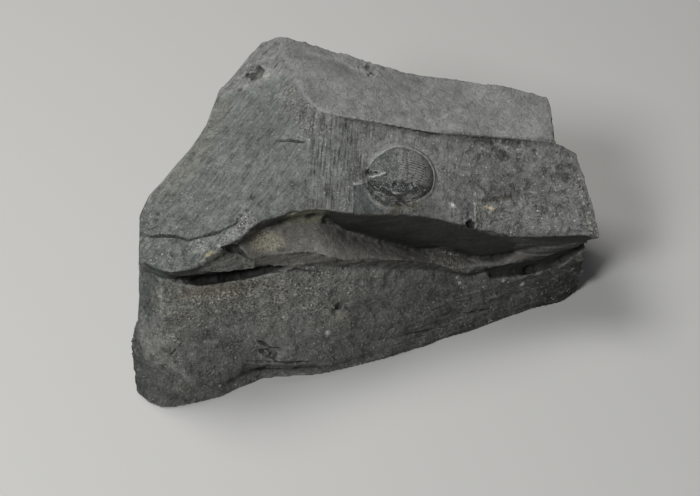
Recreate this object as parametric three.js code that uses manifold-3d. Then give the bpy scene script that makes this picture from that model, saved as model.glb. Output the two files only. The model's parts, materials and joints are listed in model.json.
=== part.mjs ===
// An enrolled trilobite in a block of dark, bedded mudstone, as it came out of the quarry.
// Sizes are in millimetres and +Z is up. +X runs along the block to its thin end, and +Y from its broken
// front to its back. The origin is the middle of the flat base that the block rests on.

import * as THREE from "three";
import { ConvexGeometry } from "three/addons/geometries/ConvexGeometry.js";
import { TessellateModifier } from "three/addons/modifiers/TessellateModifier.js";
import { ImprovedNoise } from "three/addons/math/ImprovedNoise.js";
import { mergeGeometries, mergeVertices } from "three/addons/utils/BufferGeometryUtils.js";
import Module from "manifold-3d";

// The trilobite: its width and length, how far its crown stands over the middle of the body, and how deep
// the rolled body goes into the rock behind it.
const bodyWidth = 22;
const bodyLength = 18.1;
const crownHeight = 5.4;
const bodyDepth = 5.0;

// Where the middle of the trilobite lies, which way its crown faces, and which way its tail points.
const bodyCentre = new THREE.Vector3(11, 1.95, 61.65);
const crownFacing = new THREE.Vector3(0.28, -0.59, 0.76).normalize();
const tailFacing = new THREE.Vector3(0.2, 0.82, 0.59).normalize();

// Eleven thorax segments cross the crown, from one share of the half length to another.
const ribs = 11;
const ribsFrom = 0.66;
const ribsTo = -0.4;
const ribHeight = 0.5;
const ribBend = 0.12;

// The lobe down the middle, the furrows beside it, the swollen brow, the eyes and the furrow behind the
// rim: where each lies and how wide it is, as shares of the half width or half length, and its height.
const axialLobe = { width: 0.24, height: 0.8 };
const axialFurrow = { side: 0.35, width: 0.07, height: -0.3 };
const brow = { y: -0.62, width: 0.3, length: 0.24, height: 0.7 };
const eye = { side: 0.42, y: -0.53, width: 0.12, length: 0.1, height: 1.0 };
const rimFurrow = { y: -0.84, length: 0.05, height: -0.45 };

// How finely the shell is divided: rings on the tail and on the head, and columns over the crown and
// under it.
const tailRings = 5;
const headRings = 10;
const crownColumns = 24;
const rootColumns = 8;

// The gap between the shell and its seat in the rock, and the shallow ring that was cleared round it.
const seatGap = 0.3;
const moatReach = 2.1;
const moatHalfHeight = 2.3;
const moatLift = 0.6;

// The edge lines of the block, in the order that a tape wrapped round it meets them: up the front, over
// the top and down the back. Each runs from the thick left end to the thin right end.
const frontFoot = [
  [-75.5, -36.5, -3], [-74.5, -40.3, -3], [-68, -43.8, -3], [-60, -42.8, -3], [-49.5, -40.3, -3],
  [-41, -35.5, -3], [-34.3, -31.2, -3], [-20, -30.3, -3], [-5, -27.2, -3], [12, -20.4, -3],
  [46.5, -4.8, -3], [68, 4, -3], [73, 9, -3],
];
const toeHollow = [
  [-76, -36.8, 6], [-68, -43.6, 5], [-49.5, -40, 4], [-42, -34, 4], [-34, -29.8, 4.5],
  [-20, -28.8, 3.5], [-11, -27.6, 2.5], [12, -19.9, 2], [46.5, -4, 2], [68, 4.6, 2], [74, 9, 2],
];
const toeEdge = [
  [-76.3, -33.6, 20], [-70, -42.2, 13], [-60, -42, 10], [-49, -39.6, 8], [-39.5, -34, 9.5],
  [-34, -33, 9], [-26.4, -32.6, 7.5], [-15, -29.2, 6], [-5, -26.4, 7], [11.7, -19.2, 7],
  [28.8, -9.8, 6.2], [46, -2.1, 6.3], [60, 3.3, 5.8], [74.5, 8.4, 5.6],
];
const faceMiddle = [
  [-71.8, -30.6, 35], [-65.4, -37.6, 34], [-53, -34, 27], [-34, -29.6, 27], [-11.5, -24.2, 24],
  [11.6, -14.8, 20], [31, -6.8, 13], [46, -0.4, 9.5], [60, 4.4, 8.2], [75.4, 8.4, 12],
];
const faceTop = [
  [-71.6, -26.4, 48.5], [-63.4, -34.4, 49.8], [-52, -32.9, 46], [-40, -29.8, 46], [-22.5, -25.4, 46],
  [-11.4, -22.4, 45], [0, -17.8, 40], [11.3, -13, 35], [21.5, -8.3, 28], [31, -4.7, 20.8],
  [46, 1, 14.8], [60, 5.9, 12.8], [67, 7.3, 14], [73.4, 8.6, 19], [75, 8.5, 22],
];
const crevice = [
  [-71.4, -25.4, 49.6], [-63.4, -31, 48], [-52, -27, 41.5], [-40, -24, 41.5], [-30, -23.2, 43.5],
  [-22.5, -23.6, 45.6], [-11.4, -21.6, 45.4], [0, -17.2, 40.4], [11.3, -12.4, 35.4], [21.4, -7.2, 28],
  [31, -1.5, 18.5], [46, 5, 10.8], [60, 9.5, 9.5], [67, 10.8, 12], [74.6, 12, 19.5],
];
const creviceRoof = [
  [-71.3, -32, 52], [-61.8, -34.8, 52.4], [-52, -31.8, 50.2], [-44.3, -29.9, 49.7], [-36.6, -27.6, 49],
  [-22.4, -25.3, 47.6], [-11.4, -22.6, 46.4], [0, -18.2, 41.6], [11.3, -13.2, 36.6],
  [21.4, -8.5, 29.8], [31, -4.9, 23.6], [45.7, 1.6, 19], [59.6, 5.4, 18], [66.3, 6.4, 20],
  [75.2, 7.8, 25],
];
const ledge = [
  [-70.9, -31.8, 54], [-61.6, -35.2, 53.8], [-55, -32.9, 53], [-47.2, -30.2, 53.2], [-36.6, -26, 51],
  [-24, -22.8, 49], [-17.7, -21, 48.7], [-11.4, -20.8, 46.9], [-1.8, -17.8, 42.9], [11.3, -13.2, 38],
  [21.4, -8.3, 31.2], [30.6, -4.8, 25.6], [45.6, 1.5, 21.6], [59.3, 5, 21], [66, 5.8, 23],
  [75.4, 5.4, 29],
];
const hollow = [
  [-70.8, -31.6, 54.9], [-61.5, -35, 54.5], [-55, -32.6, 54.2], [-47.2, -28.6, 55.6],
  [-39.6, -23.6, 56], [-34, -17.9, 56], [-24, -12.6, 56.4], [-14.6, -9.8, 55.6], [-11.4, -8.4, 51],
  [-6.6, -8, 46], [4.8, -5.6, 39], [11.5, -4, 35], [18, -2.3, 31], [25, -0.2, 28.4], [30.2, 1.2, 26],
  [37, 3.2, 22], [45.7, 4.4, 21.7], [52.5, 5.8, 23], [59.2, 6, 24.5], [65.6, 4.9, 27],
  [75.6, 3.6, 31.5],
];
const lip = [
  [-70.9, -31.3, 56], [-61.4, -36.4, 55.5], [-54.6, -35, 56.2], [-50, -33.6, 57.5], [-47, -31, 59],
  [-39.3, -26.4, 60.7], [-33.8, -21, 62], [-28.6, -18.2, 62], [-24, -16, 62], [-14.5, -13.8, 61.4],
  [-3.4, -14, 58.5], [6.2, -11.2, 56.5], [11, -9.4, 55], [24, -7, 50], [30.7, -6, 47], [36, -6, 44.5],
  [44, -4.8, 41], [51, -3.8, 38.7], [57.5, -3.2, 38.4], [64, -2.8, 38.4], [74, -3.2, 39.5],
  [76.8, -3, 38.2],
];
const upperMiddle = [
  [-71.2, -25.5, 57.6], [-64.4, -25, 58.8], [-52.2, -16.8, 61.5], [-40, -6.7, 65], [-29, 0.4, 69],
  [-21, 3, 71], [-11.4, 1.9, 70], [-1.8, 2.8, 67], [11, 2.6, 62.9], [24, 3.4, 58.8], [37.3, 5.4, 54.6],
  [51, 8.5, 50], [64.4, 9.6, 47.5], [75.5, 5, 44],
];
const crestStep = [
  [-71.8, -17, 59.6], [-68.4, -10.5, 62], [-62.6, -1, 64], [-58, 5, 65], [-53.6, 12.5, 67],
  [-50, 27.5, 69], [-48, 34, 70], [-41.6, 40.7, 73], [-36.7, 47.5, 76], [-34, 50, 77.4],
  [-29.6, 50.2, 78.4], [-25, 33.4, 78.1], [-19.5, 20.7, 77.2], [-14.7, 16.5, 76.2], [-9.8, 15, 74.6],
  [4.7, 15.4, 71.2], [11.2, 15, 69.6], [21, 15, 67.4], [31, 16.6, 65], [44.3, 19.6, 61],
  [54.4, 20.9, 58.4], [63.6, 22.2, 56.2], [69.8, 20.6, 54.3],
];
const crest = [
  [-71.8, -16, 59.4], [-68.4, -9.2, 61.8], [-62.6, 0.4, 63.8], [-53.6, 13.9, 66.8], [-50, 28.8, 68.8],
  [-41.6, 42, 72.8], [-36.7, 48.4, 75.7], [-34, 50.6, 77.3], [-29.6, 50.8, 78.6], [-25, 33.8, 78.4],
  [-19.5, 20.8, 77.6], [-14.7, 16, 76.9], [-9.8, 14.3, 75.8], [4.7, 14.5, 72.8], [11.2, 13.8, 71.4],
  [21, 13.9, 69.2], [31, 15.6, 66.8], [44.3, 18.6, 62.8], [54.4, 20, 60.2], [63.6, 22, 58],
];
const farEdge = [
  [-72, -13.5, 57.6], [-68, -7, 60], [-62, 3.4, 61.6], [-53, 17, 64.6], [-49, 31.5, 67],
  [-41, 44.5, 70.6], [-34, 51, 76], [-29.6, 51.6, 78.7], [-21.7, 49.1, 79], [-8.3, 45.2, 77],
  [2.3, 42.4, 75], [11.6, 41.7, 73], [25, 41.9, 69], [45.5, 42.6, 64.4], [55.7, 42.8, 62],
  [62, 42.2, 59.8],
];
const backShoulder = [
  [-73, -6, 40], [-61, 17, 42], [-50, 40, 47], [-40, 50, 50], [-26, 52, 52], [0, 47, 44],
  [30, 47.5, 41], [52, 45, 36], [69.5, 37, 34],
];
const backSeam = [
  [-73, -7.5, 38.4], [-61, 15, 40.4], [-50, 37.8, 45.4], [-40, 47.8, 48.4], [-26, 49.8, 50.4],
  [0, 44.8, 42.4], [30, 45.3, 39.4], [52, 42.8, 34.4], [69.6, 35.4, 32.4],
];
const backLedge = [
  [-74, -4, 24], [-62, 27, 24], [-50, 44, 26], [-30, 50.5, 27], [0, 51.5, 25], [33, 50, 22],
  [58, 44.5, 19], [73.5, 33, 16],
];
const backFoot = [
  [-73.5, 1, -3], [-66, 24, -3], [-57, 39, -3], [-45, 46, -3], [-30, 49, -3], [0, 49.5, -3],
  [34, 47.5, -3], [60, 41, -3], [70, 35, -3], [75, 28, -3],
];
const edgeLines = [
  frontFoot, toeHollow, toeEdge, faceMiddle, faceTop, crevice, creviceRoof, ledge, hollow, lip, upperMiddle,
  crestStep, crest, farEdge, backShoulder, backSeam, backLedge, backFoot,
];

// The faces between the lines swell this much, are laid in cells of this size, and are weathered by two
// sizes of relief.
const faceSwell = 0.5;
const cell = 4.6;
const longestEdge = 7.8;

// Half the length of the block, and where its end parts begin.
const blockEnd = 75;
const leftShoulder = -58;
const rightShoulder = 48;
const reliefs = [
  { width: 24, height: 1.1 },
  { width: 9, height: 0.6 },
];

// The pits and cracks that are deep enough to feel: where each lies, its three half sizes (along, across,
// deep), the way the surface faces there, and how far its length is turned from level.
const pits = [
  { at: [-36.4, 36.6, 75.2], size: [3.0, 2.4, 1.6], facing: [-0.28, -0.19, 0.94], turn: 8 },
  { at: [-23.6, 6.9, 71.9], size: [4.2, 0.5, 2.2], facing: [-0.18, -0.43, 0.89], turn: -7 },
  { at: [1.3, 38.3, 75.2], size: [2.4, 1.2, 0.9], facing: [0.25, 0, 0.97], turn: -15 },
  { at: [34.3, -5.1, 46.0], size: [2.1, 1.2, 1.8], facing: [0.4, -0.5, 0.71], turn: -10 },
  { at: [-8.9, -23.7, 26.2], size: [2.2, 1.1, 1.5], facing: [0.37, -0.92, 0.1], turn: -8 },
  { at: [-30.5, -32.6, 13.2], size: [2.9, 1.4, 1.6], facing: [0.1, -0.99, 0.14], turn: -10 },
];

// The wedge that broke away behind the thin end, so that the top bed stops short of the bed under it.
const missingWedge = [
  [63.4, 21.8, 57.2], [80, 18.2, 49.7], [61.2, 62, 15.5], [80, 58, 8], [63.4, 21.8, 90],
  [80, 18.2, 90], [61.2, 62, 90], [80, 58, 90],
];

const wasm = await Module();
wasm.setup();
const noise = new ImprovedNoise();

function welded(geometry) {
  const bare = geometry.clone();
  for (const name of Object.keys(bare.attributes)) {
    if (name !== "position") bare.deleteAttribute(name);
  }
  return mergeVertices(bare, 1e-3);
}

function solidOf(geometry) {
  const mesh = welded(geometry);
  const vertProperties = new Float32Array(mesh.attributes.position.array);
  const triVerts = new Uint32Array(mesh.index.array);
  return new wasm.Manifold(new wasm.Mesh({ numProp: 3, vertProperties, triVerts }));
}

function geometryOf(solid) {
  const { vertProperties, triVerts } = solid.getMesh();
  const geometry = new THREE.BufferGeometry();
  geometry.setAttribute("position", new THREE.BufferAttribute(new Float32Array(vertProperties), 3));
  geometry.setIndex(new THREE.BufferAttribute(new Uint32Array(triVerts), 1));
  return geometry;
}

function lerp(a, b, share) {
  return a + (b - a) * share;
}

// The point of an edge line at a share of its run from the left end to the right end. Between the two
// shoulders all lines keep in step. Beyond them each one is stretched to its own end.
function pointOn(line, share) {
  const level = lerp(-blockEnd, blockEnd, share);
  let x = level;
  if (level < leftShoulder) {
    x = THREE.MathUtils.mapLinear(level, leftShoulder, -blockEnd, leftShoulder, line[0][0]);
  }
  if (level > rightShoulder) {
    x = THREE.MathUtils.mapLinear(level, rightShoulder, blockEnd, rightShoulder, line[line.length - 1][0]);
  }
  let i = 1;
  while (i < line.length - 1 && line[i][0] < x) i++;
  const [from, to] = [line[i - 1], line[i]];
  const along = (x - from[0]) / (to[0] - from[0]);
  return new THREE.Vector3(x, lerp(from[1], to[1], along), lerp(from[2], to[2], along));
}

// How many cells it takes to get from one line to the next one where they are furthest apart.
function cellsBetween(line, next) {
  const places = [0, 0.25, 0.5, 0.75, 1];
  const gaps = places.map((share) => pointOn(line, share).distanceTo(pointOn(next, share)));
  return Math.max(1, Math.round(Math.max(...gaps) / cell));
}

// The closed loop round the block at a share of its length.
function loopAt(share) {
  const loop = [];
  edgeLines.forEach((line, i) => {
    loop.push(pointOn(line, share));
    const next = edgeLines[(i + 1) % edgeLines.length];
    const count = cellsBetween(line, next);
    const from = pointOn(line, share);
    const to = pointOn(next, share);
    const outward = new THREE.Vector3(0, from.z - to.z, to.y - from.y).normalize();
    for (let k = 1; k < count; k++) {
      const between = from.clone().lerp(to, k / count);
      loop.push(between.addScaledVector(outward, faceSwell * Math.sin((Math.PI * k) / count)));
    }
  });
  return loop;
}

// The long faces: a net of cells between one loop and the next.
function sleeve(loops) {
  const size = loops[0].length;
  const index = [];
  for (let i = 0; i < loops.length - 1; i++) {
    for (let k = 0; k < size; k++) {
      const a = i * size + k;
      const b = i * size + ((k + 1) % size);
      index.push(a, a + size, b, b, a + size, b + size);
    }
  }
  const geometry = new THREE.BufferGeometry().setFromPoints(loops.flat());
  geometry.setIndex(index);
  return geometry.toNonIndexed();
}

// An end face: the loop is filled, then cut up until no edge is much longer than a cell.
function endFace(loop, facesRight) {
  const outline = loop.map((p) => new THREE.Vector2(p.y, p.z));
  const corners = [];
  for (const [a, b, c] of THREE.ShapeUtils.triangulateShape(outline, [])) {
    const turnsLeft = THREE.ShapeUtils.area([outline[a], outline[b], outline[c]]) > 0;
    corners.push(loop[a], ...(turnsLeft === facesRight ? [loop[b], loop[c]] : [loop[c], loop[b]]));
  }
  const geometry = new THREE.BufferGeometry().setFromPoints(corners);
  return new TessellateModifier(longestEdge, 14).modify(geometry);
}

// How far the weathered surface stands out of the flat face at a point.
function reliefAt(p) {
  let rise = 0;
  for (const { width, height } of reliefs) {
    rise += height * noise.noise(p.x / width, p.y / width, p.z / width);
  }
  return rise;
}

function weathered(geometry) {
  geometry.computeVertexNormals();
  const { position, normal } = geometry.attributes;
  const p = new THREE.Vector3();
  const n = new THREE.Vector3();
  for (let i = 0; i < position.count; i++) {
    p.fromBufferAttribute(position, i);
    n.fromBufferAttribute(normal, i);
    p.addScaledVector(n, reliefAt(p));
    position.setXYZ(i, p.x, p.y, p.z);
  }
  return geometry;
}

function block() {
  const steps = Math.round((2 * blockEnd) / cell);
  const loops = [];
  for (let i = 0; i <= steps; i++) loops.push(loopAt(i / steps));
  const faces = [sleeve(loops), endFace(loops[0], false), endFace(loops[steps], true)];
  return solidOf(weathered(welded(mergeGeometries(faces))));
}

// Everything under the level of the base, where the bed parted cleanly.
function underground() {
  const geometry = new THREE.BoxGeometry(3 * blockEnd, 3 * blockEnd, 20);
  geometry.translate(0, 0, -10);
  return solidOf(geometry);
}

// Stands a shape with its +Z along a facing and its +X level, turned about the facing, at a point.
function placed(geometry, at, facing, turn) {
  const z = new THREE.Vector3(...facing).normalize();
  const x = new THREE.Vector3(0, 1, 0).cross(z).normalize();
  x.applyAxisAngle(z, THREE.MathUtils.degToRad(turn));
  const y = z.clone().cross(x);
  geometry.applyMatrix4(new THREE.Matrix4().makeBasis(x, y, z).setPosition(...at));
  return solidOf(geometry);
}

function pit({ at, size, facing, turn }) {
  const geometry = new THREE.SphereGeometry(1, 12, 8);
  geometry.scale(...size);
  return placed(geometry, at, facing, turn);
}

function bodyFrame() {
  const z = crownFacing.clone();
  const y = tailFacing.clone().addScaledVector(z, -tailFacing.dot(z)).normalize();
  const x = y.clone().cross(z);
  return new THREE.Matrix4().makeBasis(x, y, z).setPosition(bodyCentre);
}

// One at the middle of a bump and next to nothing at twice its width.
function bump(offset, width, sharpness = 2) {
  return Math.exp(-(Math.abs(offset / width) ** sharpness));
}

// How far the lobes, the eyes and the furrows stand out of a plain ball at a place on it: x across and y
// to the tail, both as shares of the half width and half length.
function lobeRelief(x, y) {
  const side = Math.abs(x);
  const middle = y < ribsTo
    ? brow.height * bump(side, brow.width, 4) * bump(y - brow.y, brow.length)
    : axialLobe.height * bump(side, axialLobe.width, 4)
      + axialFurrow.height * bump(side - axialFurrow.side, axialFurrow.width);
  const eyes = eye.height * bump(side - eye.side, eye.width) * bump(y - eye.y, eye.length);
  return middle + eyes + rimFurrow.height * bump(y - rimFurrow.y, rimFurrow.length);
}

// The rings of the shell from the tail to the brow: each rib has one on its crest and one in its furrow.
function shellRings() {
  const rings = [];
  const tailAngle = Math.acos(ribsFrom);
  for (let i = 0; i < tailRings; i++) {
    rings.push({ y: Math.cos((tailAngle * i) / tailRings), rib: 0 });
  }
  for (let i = 0; i <= 2 * ribs; i++) {
    const rib = i === 0 || i === 2 * ribs ? 0 : ribHeight * (i % 2 ? 0.5 : -0.5);
    rings.push({ y: lerp(ribsFrom, ribsTo, i / (2 * ribs)), rib });
  }
  const headAngle = Math.acos(ribsTo);
  for (let i = 1; i <= headRings; i++) {
    rings.push({ y: Math.cos(lerp(headAngle, Math.PI, i / headRings)), rib: 0 });
  }
  return rings;
}

// The rolled shell: a ball whose rings follow the ribs, finely divided on the crown and coarsely below.
function shellGeometry() {
  const rings = shellRings();
  const columns = crownColumns + rootColumns;
  const geometry = new THREE.SphereGeometry(1, columns, rings.length - 1);
  const { position } = geometry.attributes;
  for (let i = 0; i < position.count; i++) {
    const { y, rib } = rings[Math.floor(i / (columns + 1))];
    const column = i % (columns + 1);
    const onCrown = column <= crownColumns;
    const turn = onCrown ? column / crownColumns : 1 + (column - crownColumns) / rootColumns;
    const reach = Math.sqrt(Math.max(0, 1 - y * y));
    const x = -Math.cos(Math.PI * turn) * reach;
    const z = Math.sin(Math.PI * turn) * reach;
    const fade = Math.min(1, Math.max(0, z) * 2.5);
    const rise = fade * (lobeRelief(x, y) + rib * Math.min(1, Math.abs(z) * 3));
    position.setXYZ(
      i,
      (x * bodyWidth) / 2,
      ((y - ribBend * x * x * Math.max(0, z)) * bodyLength) / 2,
      z * (z > 0 ? crownHeight : bodyDepth) + rise,
    );
  }
  return geometry.applyMatrix4(bodyFrame());
}

// The seat of the shell in the rock.
function seatGeometry() {
  const geometry = new THREE.SphereGeometry(1, 28, 18);
  const { position } = geometry.attributes;
  for (let i = 0; i < position.count; i++) {
    const z = position.getZ(i);
    position.setXYZ(
      i,
      position.getX(i) * (bodyWidth / 2 + seatGap),
      position.getY(i) * (bodyLength / 2 + seatGap),
      z * ((z > 0 ? crownHeight : bodyDepth) + seatGap),
    );
  }
  return geometry.applyMatrix4(bodyFrame());
}

// The shallow bowl that was cleared round the shell.
function moat() {
  const geometry = new THREE.SphereGeometry(1, 28, 12);
  geometry.scale(bodyWidth / 2 + moatReach, bodyLength / 2 + moatReach, moatHalfHeight);
  geometry.translate(0, 0, moatLift);
  return solidOf(geometry.applyMatrix4(bodyFrame()));
}

function wedge() {
  return solidOf(new ConvexGeometry(missingWedge.map((p) => new THREE.Vector3(...p))));
}

// The block with everything taken out of it.
function matrixSolid() {
  const gone = [underground(), wedge(), ...pits.map(pit), moat(), solidOf(seatGeometry())];
  return gone.reduce((rock, hole) => rock.subtract(hole), block());
}

const mudstone = new THREE.MeshStandardMaterial({ color: 0x6b6e6a, roughness: 0.9, metalness: 0 });
const shell = new THREE.MeshStandardMaterial({ color: 0x4a4d4a, roughness: 0.45, metalness: 0 });
const part = new THREE.Group();

function add(name, solid, material) {
  const mesh = new THREE.Mesh(geometryOf(solid), material);
  mesh.name = name;
  part.add(mesh);
}

add("matrix", matrixSolid(), mudstone);
add("trilobite", solidOf(shellGeometry()), shell);

export default part;
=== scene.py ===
import itertools
import json
import math
import bpy
import numpy as np
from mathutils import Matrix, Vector
from mathutils.bvhtree import BVHTree

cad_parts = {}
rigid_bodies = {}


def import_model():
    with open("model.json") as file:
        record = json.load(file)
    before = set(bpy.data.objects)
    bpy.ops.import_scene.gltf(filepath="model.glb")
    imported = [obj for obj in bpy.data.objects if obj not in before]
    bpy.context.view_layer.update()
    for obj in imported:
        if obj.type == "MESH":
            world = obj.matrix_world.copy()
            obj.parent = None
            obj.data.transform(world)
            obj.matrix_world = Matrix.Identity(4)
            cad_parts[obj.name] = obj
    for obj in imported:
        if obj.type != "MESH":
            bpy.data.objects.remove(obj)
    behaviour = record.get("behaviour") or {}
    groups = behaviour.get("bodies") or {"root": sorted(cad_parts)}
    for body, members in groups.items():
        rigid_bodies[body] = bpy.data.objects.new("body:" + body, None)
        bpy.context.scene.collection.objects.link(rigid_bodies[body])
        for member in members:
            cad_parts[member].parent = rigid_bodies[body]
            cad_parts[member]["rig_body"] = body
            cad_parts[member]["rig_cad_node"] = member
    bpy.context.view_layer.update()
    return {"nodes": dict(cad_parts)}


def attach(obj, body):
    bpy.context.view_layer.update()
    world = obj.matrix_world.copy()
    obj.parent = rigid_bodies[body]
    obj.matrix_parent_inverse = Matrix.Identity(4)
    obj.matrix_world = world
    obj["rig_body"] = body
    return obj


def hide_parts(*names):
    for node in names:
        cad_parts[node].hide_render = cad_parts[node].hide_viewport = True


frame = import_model()
scene = bpy.context.scene
mm = 0.001


def pickOnly(thing):
    bpy.ops.object.select_all(action="DESELECT")
    thing.select_set(True)
    bpy.context.view_layer.objects.active = thing


def ramp(value, low, high):
    share = np.clip((value - low) / (high - low), 0, 1)
    return share * share * (3 - 2 * share)


def lumps(points, size, seed):
    # soft random relief from -1 to 1 with about one lump for every size, in mm
    lattice = np.random.default_rng(seed).uniform(-1, 1, (24, 24, 24))
    place = points / np.asarray(size, float)
    cell = np.floor(place).astype(int)
    part = place - cell
    part = part * part * (3 - 2 * part)
    total = np.zeros(len(points))
    for corner in itertools.product((0, 1), repeat=3):
        weight = np.prod(np.where(corner, part, 1 - part), axis=1)
        at = (cell + corner) % 24
        total += weight * lattice[at[:, 0], at[:, 1], at[:, 2]]
    return total


def roughness(points, size, seed, octaves=3):
    return sum(lumps(points, np.asarray(size, float) / 2 ** k, seed + k) / 1.8 ** k for k in range(octaves))


def readPoints(mesh):
    flat = np.empty(len(mesh.vertices) * 3, np.float32)
    mesh.vertices.foreach_get("co", flat)
    return flat.reshape(-1, 3).astype(float) / mm


def writePoints(mesh, points):
    mesh.vertices.foreach_set("co", (points * mm).astype(np.float32).ravel())
    mesh.update()


def readNormals(mesh):
    flat = np.empty(len(mesh.vertices) * 3, np.float32)
    mesh.vertex_normals.foreach_get("vector", flat)
    return flat.reshape(-1, 3).astype(float)


def readEdges(mesh):
    flat = np.empty(len(mesh.edges) * 2, np.int32)
    mesh.edges.foreach_get("vertices", flat)
    return flat.reshape(-1, 2)


def spread(values, edges, rounds):
    # each value becomes the mean of itself and its neighbours, so many times over
    columns = values.reshape(len(values), -1)
    ends = np.concatenate([edges[:, 0], edges[:, 1]])
    others = np.concatenate([edges[:, 1], edges[:, 0]])
    count = 1 + np.bincount(ends, minlength=len(values))
    for _ in range(rounds):
        sums = [c + np.bincount(ends, c[others], len(values)) for c in columns.T]
        columns = np.stack(sums, 1) / count[:, None]
    return columns.reshape(values.shape)


def alongLine(corners, gap=0.3):
    corners = np.asarray(corners, float)
    pieces = []
    for a, b in zip(corners[:-1], corners[1:]):
        steps = max(1, int(np.linalg.norm(b - a) / gap))
        pieces.append(a + (b - a) * np.linspace(0, 1, steps, endpoint=False)[:, None])
    return np.concatenate(pieces + [corners[-1:]])


def pressed(surface, line):
    # each point of a line goes to the nearest place on the surface
    return np.array([list(surface.find_nearest(Vector(p))[0]) for p in line])


def nearLine(points, line, reach):
    # how far each point is from a line of points, and which of them is nearest
    near = np.full(len(points), 1e3)
    which = np.zeros(len(points), int)
    low, high = line.min(0) - reach, line.max(0) + reach
    inside = np.where(((points > low) & (points < high)).all(1))[0]
    for start in range(0, len(inside), 4000):
        some = inside[start:start + 4000]
        gaps = np.linalg.norm(points[some, None, :] - line[None], axis=2)
        near[some] = gaps.min(1)
        which[some] = gaps.argmin(1)
    return near, which


def taper(which, line, share=0.16):
    # 1 along a line and falling to 0 at its ends
    along = which / max(1, len(line) - 1)
    return np.clip(np.minimum(along, 1 - along) / share, 0, 1) ** 0.6


def keepValues(mesh, name, values):
    layer = mesh.attributes.new(name, "FLOAT", "POINT")
    layer.data.foreach_set("value", values.astype(np.float32))


def keepColours(mesh, name, colours):
    layer = mesh.attributes.new(name, "FLOAT_COLOR", "POINT")
    full = np.concatenate([colours, np.ones((len(colours), 1))], 1)
    layer.data.foreach_set("color", full.astype(np.float32).ravel())


def applyModifier(thing, kind, **settings):
    pickOnly(thing)
    made = thing.modifiers.new(kind.title(), kind)
    for key, value in settings.items():
        setattr(made, key, value)
    bpy.ops.object.modifier_apply(modifier=made.name)


class Wire:
    # one output of a node
    def __init__(self, finish, socket):
        self.finish = finish
        self.socket = socket

    def __add__(self, other):
        return self.finish.maths("ADD", self, other)

    def __radd__(self, other):
        return self.finish.maths("ADD", other, self)

    def __sub__(self, other):
        return self.finish.maths("SUBTRACT", self, other)

    def __rsub__(self, other):
        return self.finish.maths("SUBTRACT", other, self)

    def __mul__(self, other):
        return self.finish.maths("MULTIPLY", self, other)

    def __rmul__(self, other):
        return self.finish.maths("MULTIPLY", other, self)


class Finish:
    # a material that is written as nodes and expressions
    def __init__(self, name):
        self.material = bpy.data.materials.new(name)
        self.material.use_nodes = True
        self.tree = self.material.node_tree
        self.shader = self.tree.nodes["Principled BSDF"]

    def feed(self, socket, value):
        if isinstance(value, Wire):
            self.tree.links.new(value.socket, socket)
        else:
            socket.default_value = value

    def node(self, kind, settings=None, sockets=None, output=0):
        made = self.tree.nodes.new(kind)
        for key, value in (settings or {}).items():
            setattr(made, key, value)
        for key, value in (sockets or {}).items():
            self.feed(made.inputs[key], value)
        return Wire(self, made.outputs[output])

    def maths(self, operation, a, b):
        return self.node("ShaderNodeMath", {"operation": operation}, {0: a, 1: b})

    def place(self):
        return self.node("ShaderNodeTexCoord", output="Object")

    def scaled(self, place, scale, turn=(0, 0, 0)):
        # turned first, so that the marks can run any way
        turned = self.node("ShaderNodeMapping", {}, {"Vector": place, "Rotation": turn})
        return self.node("ShaderNodeMapping", {}, {"Vector": turned, "Scale": scale})

    def noise(self, place, size, detail=3.0, rough=0.55, warp=0.0):
        # size is in mm
        sockets = {"Vector": place, "Scale": 1 / (size * mm), "Detail": detail, "Roughness": rough,
                   "Distortion": warp}
        return self.node("ShaderNodeTexNoise", {}, sockets)

    def cells(self, place, size):
        # how far each place is from the middle of its cell
        sockets = {"Vector": place, "Scale": 1 / (size * mm)}
        return self.node("ShaderNodeTexVoronoi", {"feature": "F1"}, sockets, "Distance")

    def between(self, value, low, high, bottom=0.0, top=1.0):
        # 0 below low and 1 above high, with a soft rise
        sockets = {"Value": value, "From Min": low, "From Max": high, "To Min": bottom, "To Max": top}
        return self.node("ShaderNodeMapRange", {"interpolation_type": "SMOOTHSTEP"}, sockets)

    def painted(self, name, output="Fac"):
        return self.node("ShaderNodeAttribute", {"attribute_name": name}, output=output)

    def threads(self, value, low, high):
        # thin lines where a noise crosses its middle value
        return 1 - self.between(self.maths("ABSOLUTE", value - 0.5, 0.0), low, high)

    def mix(self, a, b, factor, blend="MIX"):
        settings = {"data_type": "RGBA", "blend_type": blend}
        return self.node("ShaderNodeMix", settings, {0: factor, 6: a, 7: b}, 2)

    def bump(self, height, depth, strength=1.0, below=None):
        # depth is in mm
        sockets = {"Height": height, "Distance": depth * mm, "Strength": strength}
        if below is not None:
            sockets["Normal"] = below
        return self.node("ShaderNodeBump", {}, sockets)


# where the camera stands, in mm, how far it is tilted up from straight down, and its lens
view = {
    "place": (-5.0, -438.4, 468.4),
    "tilt": 45,
    "lens": 95.66,
}

room = {
    "sky": (0.95, 0.97, 1.0, 1),
    "skyStrength": 0.10,
    "aim": (0, 0, 0.04),
    "floorSize": 6,
    "floorDrop": 0.00005,
    "floorColour": (0.5, 0.495, 0.48, 1),
    "floorRoughness": 0.9,
}

# the places and sizes of the lamps are in mm
lamps = {
    "key": {"place": (-330, 160, 800), "size": 380, "power": 4.4, "tint": (1.0, 0.99, 0.97)},
    "front": {"place": (-420, -520, 700), "size": 260, "power": 5.6, "tint": (0.98, 0.99, 1.0)},
}


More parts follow.
